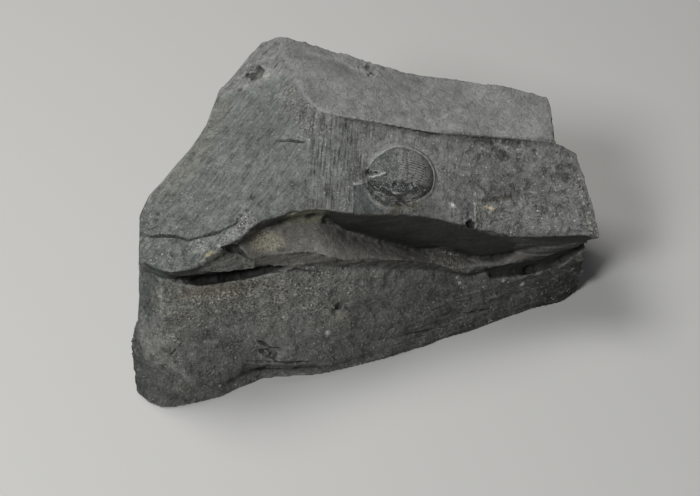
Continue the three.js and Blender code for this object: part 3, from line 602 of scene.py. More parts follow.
# pale lines of spar, dust or worn edge: the points that each runs through, its half width and its strength
paleLines = [
    ([(-21.2, 24.1, 77.4), (-18.4, 20.4, 77.3), (-15.3, 16.9, 76.8), (-12.8, 15.5, 76.2),
      (-6.6, 14.3, 75.3), (1.4, 14.4, 73.4), (11.2, 14.5, 70.8), (20.9, 14.2, 68.9), (30.8, 15.5, 66.7),
      (44.2, 18.6, 62.7), (54.3, 19.9, 60.4), (63.5, 21.2, 58.1)], 0.45, 0.8),
    ([(-48.3, 30.2, 70.2), (-42.6, 31.4, 72.2), (-38.3, 30.5, 73.4), (-34.6, 32.1, 74.8),
      (-26.6, 33.7, 77.7)], 0.8, 0.3),
    ([(-19.6, 42.7, 79), (-11.6, 41.1, 77.8), (-7.3, 39.9, 76.9), (-2.7, 37.4, 76),
      (4.2, 36, 74.3)], 0.5, 0.45),
    ([(-3.9, -5.2, 63.9), (-1.8, -4.4, 63.5), (0.4, -3.2, 63.1)], 0.4, 1.0),
    ([(-3.9, -5.4, 63.8), (-3.8, -8, 61.8), (-3.9, -12.4, 58.9)], 0.3, 0.3),
    ([(35.4, 0.6, 51.5), (35.5, -1.7, 49.2), (35.6, -3.9, 46.8), (35.7, -5.7, 44.4)], 0.35, 0.6),
    ([(-15.2, 6.6, 72.7), (-14.4, 9.4, 74), (-14.3, 13, 75.1), (-14.8, 17, 76.8)], 0.35, 0.6),
    ([(0.7, -6.3, 61.1), (2.2, -7.9, 59.2), (4.6, -8.4, 57.9), (6.2, -8.6, 57.1)], 0.3, 0.75),
    ([(-49.1, -32, 58.7), (-48.5, -30.9, 59.1), (-46, -30.7, 59.1), (-43.2, -27.1, 55.1),
      (-40.2, -26.3, 53.2), (-37.5, -25.6, 51.6)], 0.4, 0.7),
    ([(56.3, 17.3, 56.5), (58.3, 16.5, 55.5), (60.4, 17, 55.1), (62.5, 18.7, 55.3)], 0.35, 0.6),
    ([(56.6, 13.2, 53.6), (58.6, 14.3, 53.7), (61.7, 14.7, 53.1), (62.7, 14.1, 52.3),
      (61.3, 13.1, 51.9)], 0.35, 0.6),
    ([(45.5, 11.5, 55.6), (47.5, 12.3, 55.4), (48.9, 11.3, 54.1), (50.9, 11.2, 53.2)], 0.35, 0.5),
    ([(51.9, 12.4, 53.9), (53.9, 12.9, 53.9), (55.3, 12.3, 53.1)], 0.45, 0.5),
    ([(42.3, 16.9, 60.5), (43.6, 18.3, 60.6), (45.6, 18.1, 59.8), (46.6, 17.1, 59)], 0.5, 0.6),
    ([(48.1, 4.6, 48.6), (49.5, 4.3, 47.9), (50.5, 3.8, 47.1), (48.8, 3, 46.9)], 0.3, 0.55),
    ([(52.2, 5.4, 48.3), (54.1, 4.7, 47.2), (56.2, 5.4, 47.3)], 0.3, 0.5),
    ([(54.1, 3.3, 45.8), (56.5, 4.5, 46.5), (59.2, 4.1, 45.5), (61.8, 3.7, 44.4)], 0.3, 0.45),
    ([(39.5, 12, 58.7), (40.1, 10.9, 57.5), (41.1, 10.3, 56.7)], 0.4, 0.4),
    ([(44.3, 17.4, 60), (45.6, 16.8, 59.2), (47.3, 16.9, 58.7)], 0.4, 0.6),
    ([(20.4, 20.1, 69.6), (23, 20.1, 69.1), (26.1, 22.1, 68.5), (27.8, 24.3, 68.1)], 0.45, 0.6),
    ([(48.3, -3.2, 37.8), (54.7, -0.8, 34.1), (61.9, 2.7, 29.6), (68.8, 4.2, 28.2)], 0.3, 0.35),
    ([(51.7, 1, 30.4), (59.2, 5.9, 24.3), (65.7, 4.8, 25.7), (72.1, 3.8, 29.1)], 0.35, 0.35),
    ([(51.1, 5.5, 22.6), (56.6, 4.8, 21.8), (62.1, 5.5, 21.1), (66.7, 6, 22.6)], 0.35, 0.35),
    ([(-63.6, -40.6, 18.6), (-60.6, -40.9, 15.1), (-57.6, -41.2, 11.6), (-55.2, -41.3, 8.2)], 1.3, 0.5),
    ([(-64.1, -38.1, 28.7), (-61.3, -37.4, 28.5), (-58.3, -37.5, 25)], 0.4, 0.45),
]

# bright chips of spar: the points that each runs through, its half width in mm and its colour
spar = (0.72, 0.72, 0.68)
cream = (0.85, 0.66, 0.36)
chips = [
    ([(27.5, -3.1, 52.5), (28.4, -2.8, 52.3)], 0.75, spar),
    ([(39.6, 0.4, 48.9), (40.5, 0.3, 48.2), (41.7, 0.3, 47.5)], 0.42, cream),
    ([(39.9, 0.4, 48.7), (41.3, 0.3, 47.8)], 0.22, spar),
    ([(48.1, -1.3, 42.9), (48.6, -2.1, 41.8), (48.9, -3.5, 40)], 0.22, spar),
    ([(-3.9, -5.2, 63.9), (-1.8, -4.3, 63.5), (0.1, -3.3, 63.2),
      (0.4, -1.8, 62.8)], 0.28, (0.5, 0.53, 0.5)),
    ([(-33.7, -32.5, 15.6), (-32.8, -32.4, 15.4)], 0.55, spar),
    ([(-48.6, -31.2, 59), (-47.2, -31, 59.3), (-44.9, -29.4, 57.3),
      (-40.5, -26.4, 53.4)], 0.3, (0.24, 0.22, 0.12)),
    ([(-49.1, -32, 58.7), (-48.1, -31.1, 59.1)], 0.6, (0.32, 0.28, 0.15)),
    ([(-27.8, -22.2, 51.1), (-25.9, -21.7, 50.8)], 0.8, (0.06, 0.06, 0.055)),
    ([(-35, -25.3, 50.4), (-30.9, -24, 50.4), (-27.2, -23.1, 50),
      (-24, -22.5, 49.6)], 0.3, (0.022, 0.022, 0.02)),
    ([(-22.5, -22, 49.5), (-20.3, -21.5, 49.4), (-16.8, -21, 48.9),
      (-13, -21.2, 47.6)], 0.34, (0.02, 0.02, 0.018)),
    ([(-10.5, -21, 46.4), (-6, -20.1, 44.3), (-2.2, -17.8, 43.1)], 0.28, (0.025, 0.025, 0.022)),
    ([(0.2, -16.4, 42.2), (6.3, -15, 39.1), (12, -12.4, 36.4)], 0.3, (0.025, 0.025, 0.022)),
    ([(-31, -24.4, 47.8), (-24.5, -24.2, 48), (-17.5, -22.8, 46.8),
      (-11.6, -22.4, 45.2)], 0.24, (0.03, 0.03, 0.027)),
    ([(-4, -19.8, 42), (3, -16.8, 39.8), (9.7, -13.8, 36.2)], 0.24, (0.03, 0.03, 0.027)),
    ([(-48.7, -30.9, 54.7), (-44.2, -29.3, 52.2), (-39.7, -27.3, 50.6),
      (-36, -27, 49)], 0.22, (0.04, 0.04, 0.035)),
    ([(-47.6, -30.8, 52.2), (-43.3, -29.2, 51), (-39.7, -27.7, 48.7),
      (-36, -26.7, 48.2)], 0.2, (0.24, 0.24, 0.21)),
]
chips += [([middle, middle], wide, (0.55, 0.55, 0.51)) for middle, wide in [
    ((30.8, -5.2, 21), 0.5), ((31.9, -5.4, 18.8), 0.6), ((47, 0.3, 13.9), 0.6), ((53.8, 2.5, 10.1), 0.7),
    ((16, -8.6, 33.9), 0.6), ((68.5, 7.6, 15.6), 0.6), ((-71, -24, 57.6), 0.45), ((-15, -24.6, 38), 0.45),
    ((-45.6, -28.9, 60), 0.45), ((-58.5, -34.4, 44.8), 0.6), ((-47.8, -32.7, 34.2), 0.55),
    ((-22.7, -26.4, 35), 0.6), ((-26.5, -27.2, 35.4), 0.45), ((-51.8, -35.8, 22.9), 0.5),
    ((-49.1, -35.3, 22.4), 0.55), ((-49.3, -38.6, 11.5), 0.5), ((-47.7, -38.4, 4.8), 0.5),
    ((-53.4, -34.5, 29.7), 0.4), ((-60, -36.3, 30.1), 0.5), ((-15.4, -25.5, 27), 0.45),
    ((-26.4, -27.5, 25.9), 0.5), ((-12.5, -26.7, 17.3), 0.8), ((-30.9, -31.7, 12), 0.5),
]]

# soft patches of another tint: the middle, how far each reaches (along, across and up), its tint and strength
patches = [
    ((-8.3, -23.8, 21.8), (3, 2, 2), (0.24, 0.23, 0.18), 0.7),
    ((-53, -33.4, 43.7), (6, 4, 2), (0.165, 0.135, 0.10), 0.6),
    ((-47, -35.2, 22), (13, 5, 6), (0.085, 0.089, 0.081), 0.8),
    ((20, -10.6, 17), (20, 8, 6), (0.082, 0.083, 0.077), 0.7),
    ((-30, -32, 30), (22, 8, 6), (0.135, 0.137, 0.128), 0.5),
    ((-45, -31, 42), (13, 4, 2.6), (0.165, 0.14, 0.105), 0.6),
    ((-30, 12, 74), (9, 12, 5), (0.095, 0.106, 0.096), 0.35),
    ((50, 12, 53), (16, 4, 4), (0.105, 0.105, 0.10), 0.5),
]

shellFrame = {
    "middle": (11, 1.95, 61.65),
    "crown": (0.28, -0.59, 0.76),
    "tail": (0.2, 0.82, 0.59),
    "halfWidth": 11,
    "halfLength": 9.05,
    "crownHeight": 5.4,
    "rootDepth": 5.0,
    # how far the edge lies from the middle, by the angle round it in degrees
    "edge": [(0, 1.02), (45, 1.03), (75, 0.99), (102, 0.95), (139, 0.84), (170, 0.9), (196, 0.98),
             (220, 1.06), (240, 1.05), (261, 1.0), (315, 1.0), (342, 1.04)],
}


def shellEdge(x, y):
    angles, edge = np.array(shellFrame["edge"]).T
    return np.interp(np.degrees(np.arctan2(y, x)), angles, edge, period=360)


def shellRing(out):
    # 1 at the edge of the shell and less inside it
    x, y = out[:, 0] / shellFrame["halfWidth"], out[:, 1] / shellFrame["halfLength"]
    return np.hypot(x, y) / shellEdge(x, y)


def shellAxes():
    z = np.array(shellFrame["crown"])
    z /= np.linalg.norm(z)
    y = np.array(shellFrame["tail"])
    y = y - z * (y @ z)
    y /= np.linalg.norm(y)
    return np.stack([np.cross(y, z), y, z])


def atBed(name, x):
    corners = np.array(beds[name], float)
    return np.interp(x, corners[:, 0], corners[:, 1])


def stoneZones(points, normals):
    # how much each vertex belongs to each face of the block, from 0 to 1
    x, y, z = points.T
    wobble = 0.7 * lumps(points, 5, 41)
    overLip = ramp(z - atBed("lip", x) + 0.4 * wobble, -0.8, 0.4) * ramp(normals[:, 2], -0.25, 0.1)
    behind = ramp(y - atBed("crest", x) + 0.5 * wobble, -0.4, 0.6)
    front = ramp(atBed("crevice", x) - z + wobble, -0.5, 0.8) * ramp(-normals[:, 1], 0.05, 0.3)
    back = ramp(normals[:, 1], 0.2, 0.5) * ramp(y, 20, 28)
    leftEnd = ramp(-normals[:, 0], 0.45, 0.7) * ramp(-x, 60, 66)
    rightEnd = ramp(normals[:, 0], 0.5, 0.75) * ramp(x, 55, 62)
    top = overLip * (1 - back) * (1 - rightEnd)
    strip = top * behind * ramp(normals[:, 2], 0.5, 0.8)
    slope = top * (1 - strip)
    drift = 3 * lumps(points, 6, 43)
    leftSlope = slope * (1 - ramp(x + 0.15 * (z - 60) + drift, -23, -11))
    rightSlope = slope * (1 - leftSlope / np.maximum(slope, 1e-6)) * (slope > 0)
    scraped = slope * ramp(x + drift, -23, -11) * (1 - ramp(x, -7, 2))
    between = (1 - overLip) * (1 - front) * (1 - back) * (1 - leftEnd) * (1 - rightEnd) * ramp(z, 8, 20)
    return {
        "strip": strip, "leftSlope": leftSlope, "rightSlope": rightSlope, "scraped": scraped, "front": front,
        "between": between, "back": back, "leftEnd": leftEnd, "rightEnd": rightEnd, "top": top,
    }


def plateShare(points, normals, plate):
    # how far each vertex lies within the outline of a plate, seen from the front
    outline = np.array(plate["outline"])
    middle = outline.mean(0)
    sight = np.array(view["place"]) - middle
    sight /= np.linalg.norm(sight)
    across = np.cross((0, 0, 1), sight)
    across /= np.linalg.norm(across)
    basis = np.stack([across, np.cross(sight, across)], 1)
    corners = (outline - middle) @ basis
    spot = (points - middle) @ basis
    wide = np.abs(corners).max() + 2
    deep = np.abs((points - middle) @ sight)
    near = (np.abs(spot).max(1) < wide) & (deep < stoneMake["plateDepth"]) & (normals @ sight > -0.1)
    chosen = np.where(near)[0]
    spot = spot[chosen]
    gap = np.full(len(chosen), 1e3)
    inside = np.zeros(len(chosen), bool)
    for a, b in zip(corners, np.roll(corners, -1, 0)):
        run = b - a
        part = np.clip((spot - a) @ run / (run @ run + 1e-9), 0, 1)
        gap = np.minimum(gap, np.linalg.norm(spot - a - part[:, None] * run, axis=1))
        crossing = (a[1] > spot[:, 1]) != (b[1] > spot[:, 1])
        inside ^= crossing & (spot[:, 0] < run[0] * (spot[:, 1] - a[1]) / (run[1] + 1e-9) + a[0])
    gap = np.where(inside, gap, -gap) + 0.35 * lumps(points[chosen], 1.6, 91)
    share = np.zeros(len(points))
    share[chosen] = ramp(gap, -plate["edge"], plate["edge"])
    return share


def hiddenShare(surface, points, normals, chosen):
    # how much of the open air over each chosen vertex is blocked by stone nearby, which darkens it as painted
    # shade
    random = np.random.default_rng(7)
    rays = random.normal(size=(stoneMake["shadeRays"], 3))
    rays /= np.linalg.norm(rays, axis=1)[:, None]
    hidden = np.zeros(len(points))
    for k in chosen:
        start = Vector(points[k] + normals[k] * stoneMake["shadeStart"])
        blocked = 0
        for ray in rays:
            way = Vector(ray + normals[k] * stoneMake["shadeLean"])
            blocked += surface.ray_cast(start, way, stoneMake["shadeReach"])[0] is not None
        hidden[k] = blocked / len(rays)
    return hidden


def copyOfNode(node, name):
    pickOnly(frame["nodes"][node])
    bpy.ops.object.duplicate()
    piece = bpy.context.object
    piece.name = name
    piece.parent = None
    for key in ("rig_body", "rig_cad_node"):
        if key in piece:
            del piece[key]
    piece.data.materials.clear()
    bpy.ops.object.mode_set(mode="EDIT")
    bpy.ops.mesh.select_all(action="SELECT")
    bpy.ops.mesh.remove_doubles(threshold=stoneMake["weld"])
    bpy.ops.mesh.normals_make_consistent(inside=False)
    bpy.ops.object.mode_set(mode="OBJECT")
    return piece


def easeFacets(stone):
    # the flat facets melt into each other, and the broken edges stay
    mesh = stone.data
    edges = readEdges(mesh)
    turned = 1 - np.linalg.norm(spread(readNormals(mesh), edges, 5), axis=1)
    flat = 1 - ramp(spread(turned, edges, 2), 0.012, 0.045)
    group = stone.vertex_groups.new(name="flat")
    steps = np.round(flat * 10).astype(int)  # a vertex group takes one weight at a time
    for step in range(1, 11):
        group.add(np.where(steps == step)[0].tolist(), step / 10, "REPLACE")
    rounds = stoneMake["smoothRounds"]
    applyModifier(stone, "SMOOTH", factor=0.5, iterations=rounds, vertex_group="flat")
    applyModifier(stone, "SMOOTH", factor=0.4, iterations=2)


def fineBand(stone, lines):
    # smaller faces near the cracks and round the fossil
    mesh = stone.data
    points = readPoints(mesh)
    near = np.zeros(len(points), bool)
    for line in lines:
        near |= nearLine(points, line, 3)[0] < stoneMake["fineReach"]
    out = (points - shellFrame["middle"]) @ shellAxes().T
    long, wide, deep = stoneMake["fineOval"]
    near |= np.hypot(out[:, 0] / long, out[:, 1] / wide) + np.abs(out[:, 2] / deep) < 1
    pickOnly(stone)
    bpy.ops.object.mode_set(mode="EDIT")
    bpy.ops.mesh.select_all(action="DESELECT")
    bpy.ops.mesh.select_mode(type="VERT")
    bpy.ops.object.mode_set(mode="OBJECT")
    mesh.vertices.foreach_set("select", near)
    bpy.ops.object.mode_set(mode="EDIT")
    bpy.ops.mesh.subdivide(number_cuts=1)
    bpy.ops.object.mode_set(mode="OBJECT")


def makeStone():
    stone = copyOfNode("matrix", "mudstoneBlock")
    voxel = stoneMake["voxel"]
    applyModifier(stone, "REMESH", mode="VOXEL", voxel_size=voxel, adaptivity=0)
    print("stone: remeshed to", len(stone.data.polygons), "faces")
    easeFacets(stone)
    corners = [v.co / mm for v in stone.data.vertices]
    surface = BVHTree.FromPolygons(corners, [p.vertices for p in stone.data.polygons])
    lines = {name: pressed(surface, alongLine(mark["line"])) for name, mark in {**cracks, **scars}.items()}
    pales = [pressed(surface, alongLine(entry[0])) for entry in paleLines]
    fineBand(stone, [*lines.values(), *pales])
    mesh = stone.data
    edges = readEdges(mesh)
    points = readPoints(mesh)
    normals = spread(readNormals(mesh), edges, 4)
    zones = stoneZones(points, normals)
    overCrevice = points[:, 2] - atBed("crevice", points[:, 0])
    chosen = np.where((zones["between"] > 0.3) | (np.abs(overCrevice) < 2))[0]
    hidden = hiddenShare(surface, points, normals, chosen)
    print("stone: shade worked out at", len(chosen), "vertices")
    carved = sculptStone(points, normals, zones, lines, edges)
    carved["hidden"] = spread(hidden, edges, 3)
    carved["pale"] = np.zeros(len(points))
    for line, (_, wide, strength) in zip(pales, paleLines):
        near, which = nearLine(points, line, 3)
        glow = strength * np.exp(-(near / wide) ** 2) * taper(which, line, 0.08)
        carved["pale"] = np.maximum(carved["pale"], glow)
    points[:, 2] = np.maximum(points[:, 2], 0)
    writePoints(mesh, points)
    paintStone(mesh, zones, carved, edges)
    applyModifier(stone, "DECIMATE", ratio=min(1, stoneMake["faces"] / triangleCount(mesh)))
    pickOnly(stone)
    bpy.ops.object.shade_smooth()
    print("stone: finished with", triangleCount(stone.data), "triangles")
    return stone


def triangleCount(mesh):
    return sum(len(p.vertices) - 2 for p in mesh.polygons)


def sculptStone(points, normals, zones, lines, edges):
    x, y, z = points.T
    steep = 1 - ramp(np.abs(normals[:, 2]), 0.35, 0.75)
    base = ramp(z, 0.2, 2.5)
    # grain of each face
    rough = 0.08 + 0.2 * (zones["front"] + zones["back"] + zones["rightEnd"]) + 0.08 * zones["rightSlope"]
    rise = rough * roughness(points, 3.2, 11) + 0.35 * lumps(points, 11, 15) * (1 - 0.5 * zones["top"])
    # the beds show as thin layers where a face cuts across them
    bed = z - 0.05 * x + 0.1 * y + 1.2 * lumps(points, (22, 22, 6), 21)
    sheets = np.stack([x * 0.08, y * 0.08, bed], 1)
    layers = roughness(sheets, 1.9, 25, 2)
    shares = {name: plateShare(points, normals, plate) for name, plate in plates.items()}
    deepLayers = 0.10 + 0.22 * zones["back"] + 0.25 * zones["rightEnd"] + 0.3 * shares["ledgeBand"]
    toe = zones["front"] * ramp(x, -5, 20) * (1 - ramp(z - 0.1 * x, 8, 14))
    rise += (steep * (deepLayers + 0.3 * toe) + 0.4 * shares["splinters"]) * layers
    # broken faces meet in low ridges on the front
    rise += (0.1 + 0.4 * zones["front"]) * (0.25 - np.abs(roughness(points, 7, 33, 2))) * (1 - zones["top"])
    # chips along the broken edges
    sharp = 1 - np.linalg.norm(spread(normals, edges, 6), axis=1)
    chip = ramp(sharp, 0.03, 0.1) * np.clip(roughness(points, 4.5, 31, 2) - 0.05, 0, 1)
    rise -= 1.1 * chip * (1 - 0.75 * zones["top"])
    points += normals * (rise * base)[:, None]
    # the holes get a ragged rim
    for middle in stoneMake["holes"]:
        near = np.linalg.norm(points - np.array(middle), axis=1)
        chosen = np.where(near < 5)[0]
        some = points[chosen]
        ragged = np.stack([roughness(some, 1.6, seed, 2) for seed in (95, 97, 99)], 1)
        points[chosen] += ragged * (0.6 * (1 - ramp(near[chosen], 3, 5)) * base[chosen])[:, None]
    # plates, scars, then cracks
    for name, plate in plates.items():
        points += normals * (plate.get("rise", 0) * shares[name])[:, None]
    for name, scar in scars.items():
        # the stone rises to the line on its left side and falls away behind it
        line = lines[name]
        facing = np.array(scar["facing"]) / np.linalg.norm(scar["facing"])
        near, which = nearLine(points, line, 2.5 * scar["reach"])
        run = np.gradient(line, axis=0)
        run /= np.linalg.norm(run, axis=1)[:, None] + 1e-9
        side = np.einsum("ij,ij->i", points - line[which], np.cross(facing, run)[which])
        lift = ramp(side, -0.15, 0.2) * np.exp(-np.maximum(side, 0) / scar["reach"]) * taper(which, line)
        lift = lift * (near < 2.5 * scar["reach"]) * (0.75 + 0.35 * lumps(points, 3, 45))
        points += normals * (scar["high"] * lift)[:, None]
    shade = np.zeros(len(points))
    for name, crack in cracks.items():
        line = lines[name]
        near, which = nearLine(points, line, 4)
        ends = taper(which, line)
        wide = crack["wide"] * (0.75 + 0.4 * lumps(points, 2.5, 51))
        cut = np.exp(-(near / wide) ** 2) * ends
        points -= normals * (crack["deep"] * cut)[:, None]
        shade = np.maximum(shade, cut)
    for middle, wide, deep in pits:
        near = np.linalg.norm(points - np.array(middle), axis=1)
        cut = np.exp(-(near / (wide * (1 + 0.35 * lumps(points, 1.2, 57)))) ** 4)
        points -= normals * (deep * cut)[:, None]
        shade = np.maximum(shade, 0.75 * cut)
    meetShell(points, normals)
    return {"shade": shade, "toe": toe, "shares": shares}


def meetShell(points, normals):
    # the stone closes up to the shell and stands along its top and right in a thin rim
    out = (points - shellFrame["middle"]) @ shellAxes().T
    ring = shellRing(out)
    facing = normals @ shellAxes()[2]
    flat = (ring > 1.3) & (ring < 1.6) & (np.abs(out[:, 2]) < 5) & (facing > 0.6)
    grid = np.stack([np.ones(flat.sum()), out[flat, 0], out[flat, 1]], 1)
    plane = np.linalg.lstsq(grid, out[flat, 2], rcond=None)[0]
    print("stone: level round the shell", np.round(plane, 2))
    level = plane[0] + plane[1] * out[:, 0] + plane[2] * out[:, 1]
    upper = ramp(out[:, 1] + 0.5 * out[:, 0], -6.5, -3)
    rubble = level - 0.35 + 0.7 * roughness(points, 2.2, 65, 2)
    collar = np.maximum(level, 0.9) * upper + (1 - upper) * rubble
    level = level + (collar - level) * np.exp(-(np.maximum(ring - 1, 0) / 0.12) ** 2)
    near = (ring > 0.93) & (ring < 1.35) & (out[:, 2] > -5) & (out[:, 2] < 6)
    rim = 0.3 * np.exp(-((ring - 1.03) / 0.025) ** 2) * upper
    lift = np.maximum(level + rim - out[:, 2], 0) * near
    points += lift[:, None] * shellAxes()[2]


stoneTints = {
    "plain": (0.135, 0.138, 0.132),
    "leftSlope": (0.118, 0.127, 0.117),
    "strip": (0.182, 0.183, 0.178),
    "rightSlope": (0.152, 0.154, 0.149),
    "scraped": (0.128, 0.132, 0.127),
    "front": (0.170, 0.170, 0.155),
    "between": (0.135, 0.130, 0.116),
    "leftEnd": (0.072, 0.077, 0.070),
    # painted shade: the dark tint of faces turned down under the overhang
    "under": (0.030, 0.031, 0.027),
    "rightEnd": (0.090, 0.090, 0.083),
}


def paintStone(mesh, zones, carved, edges):
    points = readPoints(mesh)
    normals = readNormals(mesh)
    x, z = points[:, 0], points[:, 2]
    shares = carved["shares"]
    tint = np.tile(stoneTints["plain"], (len(points), 1))
    # painted shade on the faces turned down between the beds
    under = zones["between"] * (1 - ramp(normals[:, 2], -0.1, 0.35))
    parts = {**zones, "under": under}
    for name, shade in stoneTints.items():
        if name in parts:
            share = np.clip(parts[name], 0, 1)[:, None]
            tint = tint * (1 - share) + np.array(shade) * share
    # the front face darkens downwards; it and the thin end are painted darker to the right as painted shade
    # on the sides turned from the lamps; and the top strip gets paler to it
    tint *= (1 - 0.06 * zones["front"] - 0.22 * zones["front"] * ramp(x, -15, 20))[:, None]
    tint *= (1 - 0.4 * zones["front"] * ramp(27 - z, 0, 17))[:, None]
    tint *= (1 - 0.56 * (1 - zones["top"]) * ramp(x, 50, 64))[:, None]
    tint *= (1 - 0.22 * zones["leftSlope"] * ramp(62 - z, 0, 3))[:, None]
    tint *= (1 + 0.2 * zones["strip"] * ramp(x, -5, 50))[:, None]
    tint *= (1 + 0.10 * roughness(points, 9, 71))[:, None]
    # painted shade: the tint darkens where stone nearby blocks the open air, in the crevices and under the
    # overhang
    tint *= (1 - 0.75 * ramp(carved["hidden"], 0.3, 0.9))[:, None]
    for middle, reach, shade, strength in patches:
        near = np.linalg.norm((points - np.array(middle)) / np.array(reach), axis=1)
        near = near * (1 + 0.35 * roughness(points, 3.5, 73, 2))
        share = (strength * np.exp(-near ** 3))[:, None]
        tint = tint * (1 - share) + np.array(shade) * share
    for name, plate in plates.items():
        share = (plate["strength"] * shares[name])[:, None]
        tint = tint * (1 - share) + np.array(plate["tint"]) * share
    rise = ((points - spread(points, edges, 5)) * normals).sum(1)
    worn = ramp(rise, 0.08, 0.32)
    out = (points - shellFrame["middle"]) @ shellAxes().T
    ring = shellRing(out)
    upper = ramp(out[:, 1] + 0.5 * out[:, 0], -6.5, -3) * (np.abs(out[:, 2]) < 6)
    ring = ring + 0.02 * lumps(points, 1.5, 75)
    rim = (1 - ramp(np.abs(ring - 1.035), 0.015, 0.06)) * upper
    halo = (1 - ramp(ring, 1.0, 1.5)) * upper
    dust = np.maximum(worn * 0.6, rim * 1.1)
    dust = np.maximum(dust, 0.35 * halo)
    dust = np.maximum(dust, carved["pale"])
    chip = np.zeros(len(points))
    for corners, wide, colour in chips:
        near = nearLine(points, alongLine(corners, 0.1), 2)[0]
        reach = stoneMake["chipScale"] * wide * (1 + 0.5 * lumps(points, 0.9, 77))
        share = np.exp(-(near / reach) ** 4)
        tint = tint * (1 - share[:, None]) + np.array(colour) * share[:, None]
        chip = np.maximum(chip, share)
    sunk = ramp(-rise, 0.08, 0.4)
    lowEdge = zones["leftSlope"] * ramp(62 - z, -2, 3)
    crumbly = 0.2 + 0.8 * ramp(z + 0.15 * x, 18, 30) * (1 - ramp(x, -20, 10))
    crumbly = zones["front"] * crumbly * ramp(x, -69, -62) + 0.2 * lowEdge
    bedded = 0.25 * zones["between"] + 0.8 * zones["back"] + 0.8 * zones["rightEnd"] + carved["toe"]
    plain = np.ones(len(points))  # 0 in deep shade, which takes no dust, crumbs or blotches
    for name, plate in plates.items():
        crumbly = crumbly + plate.get("crumbly", 0) * shares[name]
        bedded = bedded + plate.get("bedded", 0) * shares[name]
        plain = plain * (1 - shares[name] * (1 - ramp(max(plate["tint"]), 0.03, 0.08)))
    keepColours(mesh, "tint", np.clip(tint, 0, 1))
    crumbly = crumbly * (1 - 0.5 * zones["front"] * ramp(x, 5, 25))
    keepValues(mesh, "chip", np.clip(chip, 0, 1))
    keepValues(mesh, "dust", np.clip(dust * plain, 0, 1))
    keepValues(mesh, "shade", np.clip(np.maximum(carved["shade"], 0.6 * sunk), 0, 1))
    keepValues(mesh, "crumbly", np.clip(crumbly * plain, 0, 1))
    keepValues(mesh, "bedded", np.clip(bedded, 0, 1))
    beside = zones["rightSlope"] * (1 - ramp(x, 26, 38))
    keepValues(mesh, "scraped", np.clip(zones["scraped"] + 0.35 * beside, 0, 1))
    keepValues(mesh, "smeared", np.clip(zones["leftSlope"] + 0.25 * zones["strip"], 0, 1))
    keepValues(mesh, "fibrous", np.clip(zones["leftEnd"], 0, 1))
    blotchy = 0.2 * (1 - zones["strip"]) + (zones["rightSlope"] - 0.6 * beside) + 0.45 * zones["front"]
    keepValues(mesh, "blotchy", np.clip(blotchy + 0.12 * zones["leftSlope"] + 0.35 * lowEdge, 0, 1) * plain)


# the colours of the stone's small marks, and how much its surface shines
stoneInks = {
    "crumb": (0.40, 0.38, 0.32, 1),
    "bit": (0.66, 0.64, 0.57, 1),
    "hole": (0.03, 0.03, 0.027, 1),
    "thread": (0.40, 0.40, 0.38, 1),
    "crack": (0.02, 0.02, 0.019, 1),
    "speck": (0.60, 0.60, 0.56, 1),
    "dust": (0.34, 0.34, 0.325, 1),
    "shade": (0.012, 0.012, 0.011, 1),
    "specular": 0.35,
}


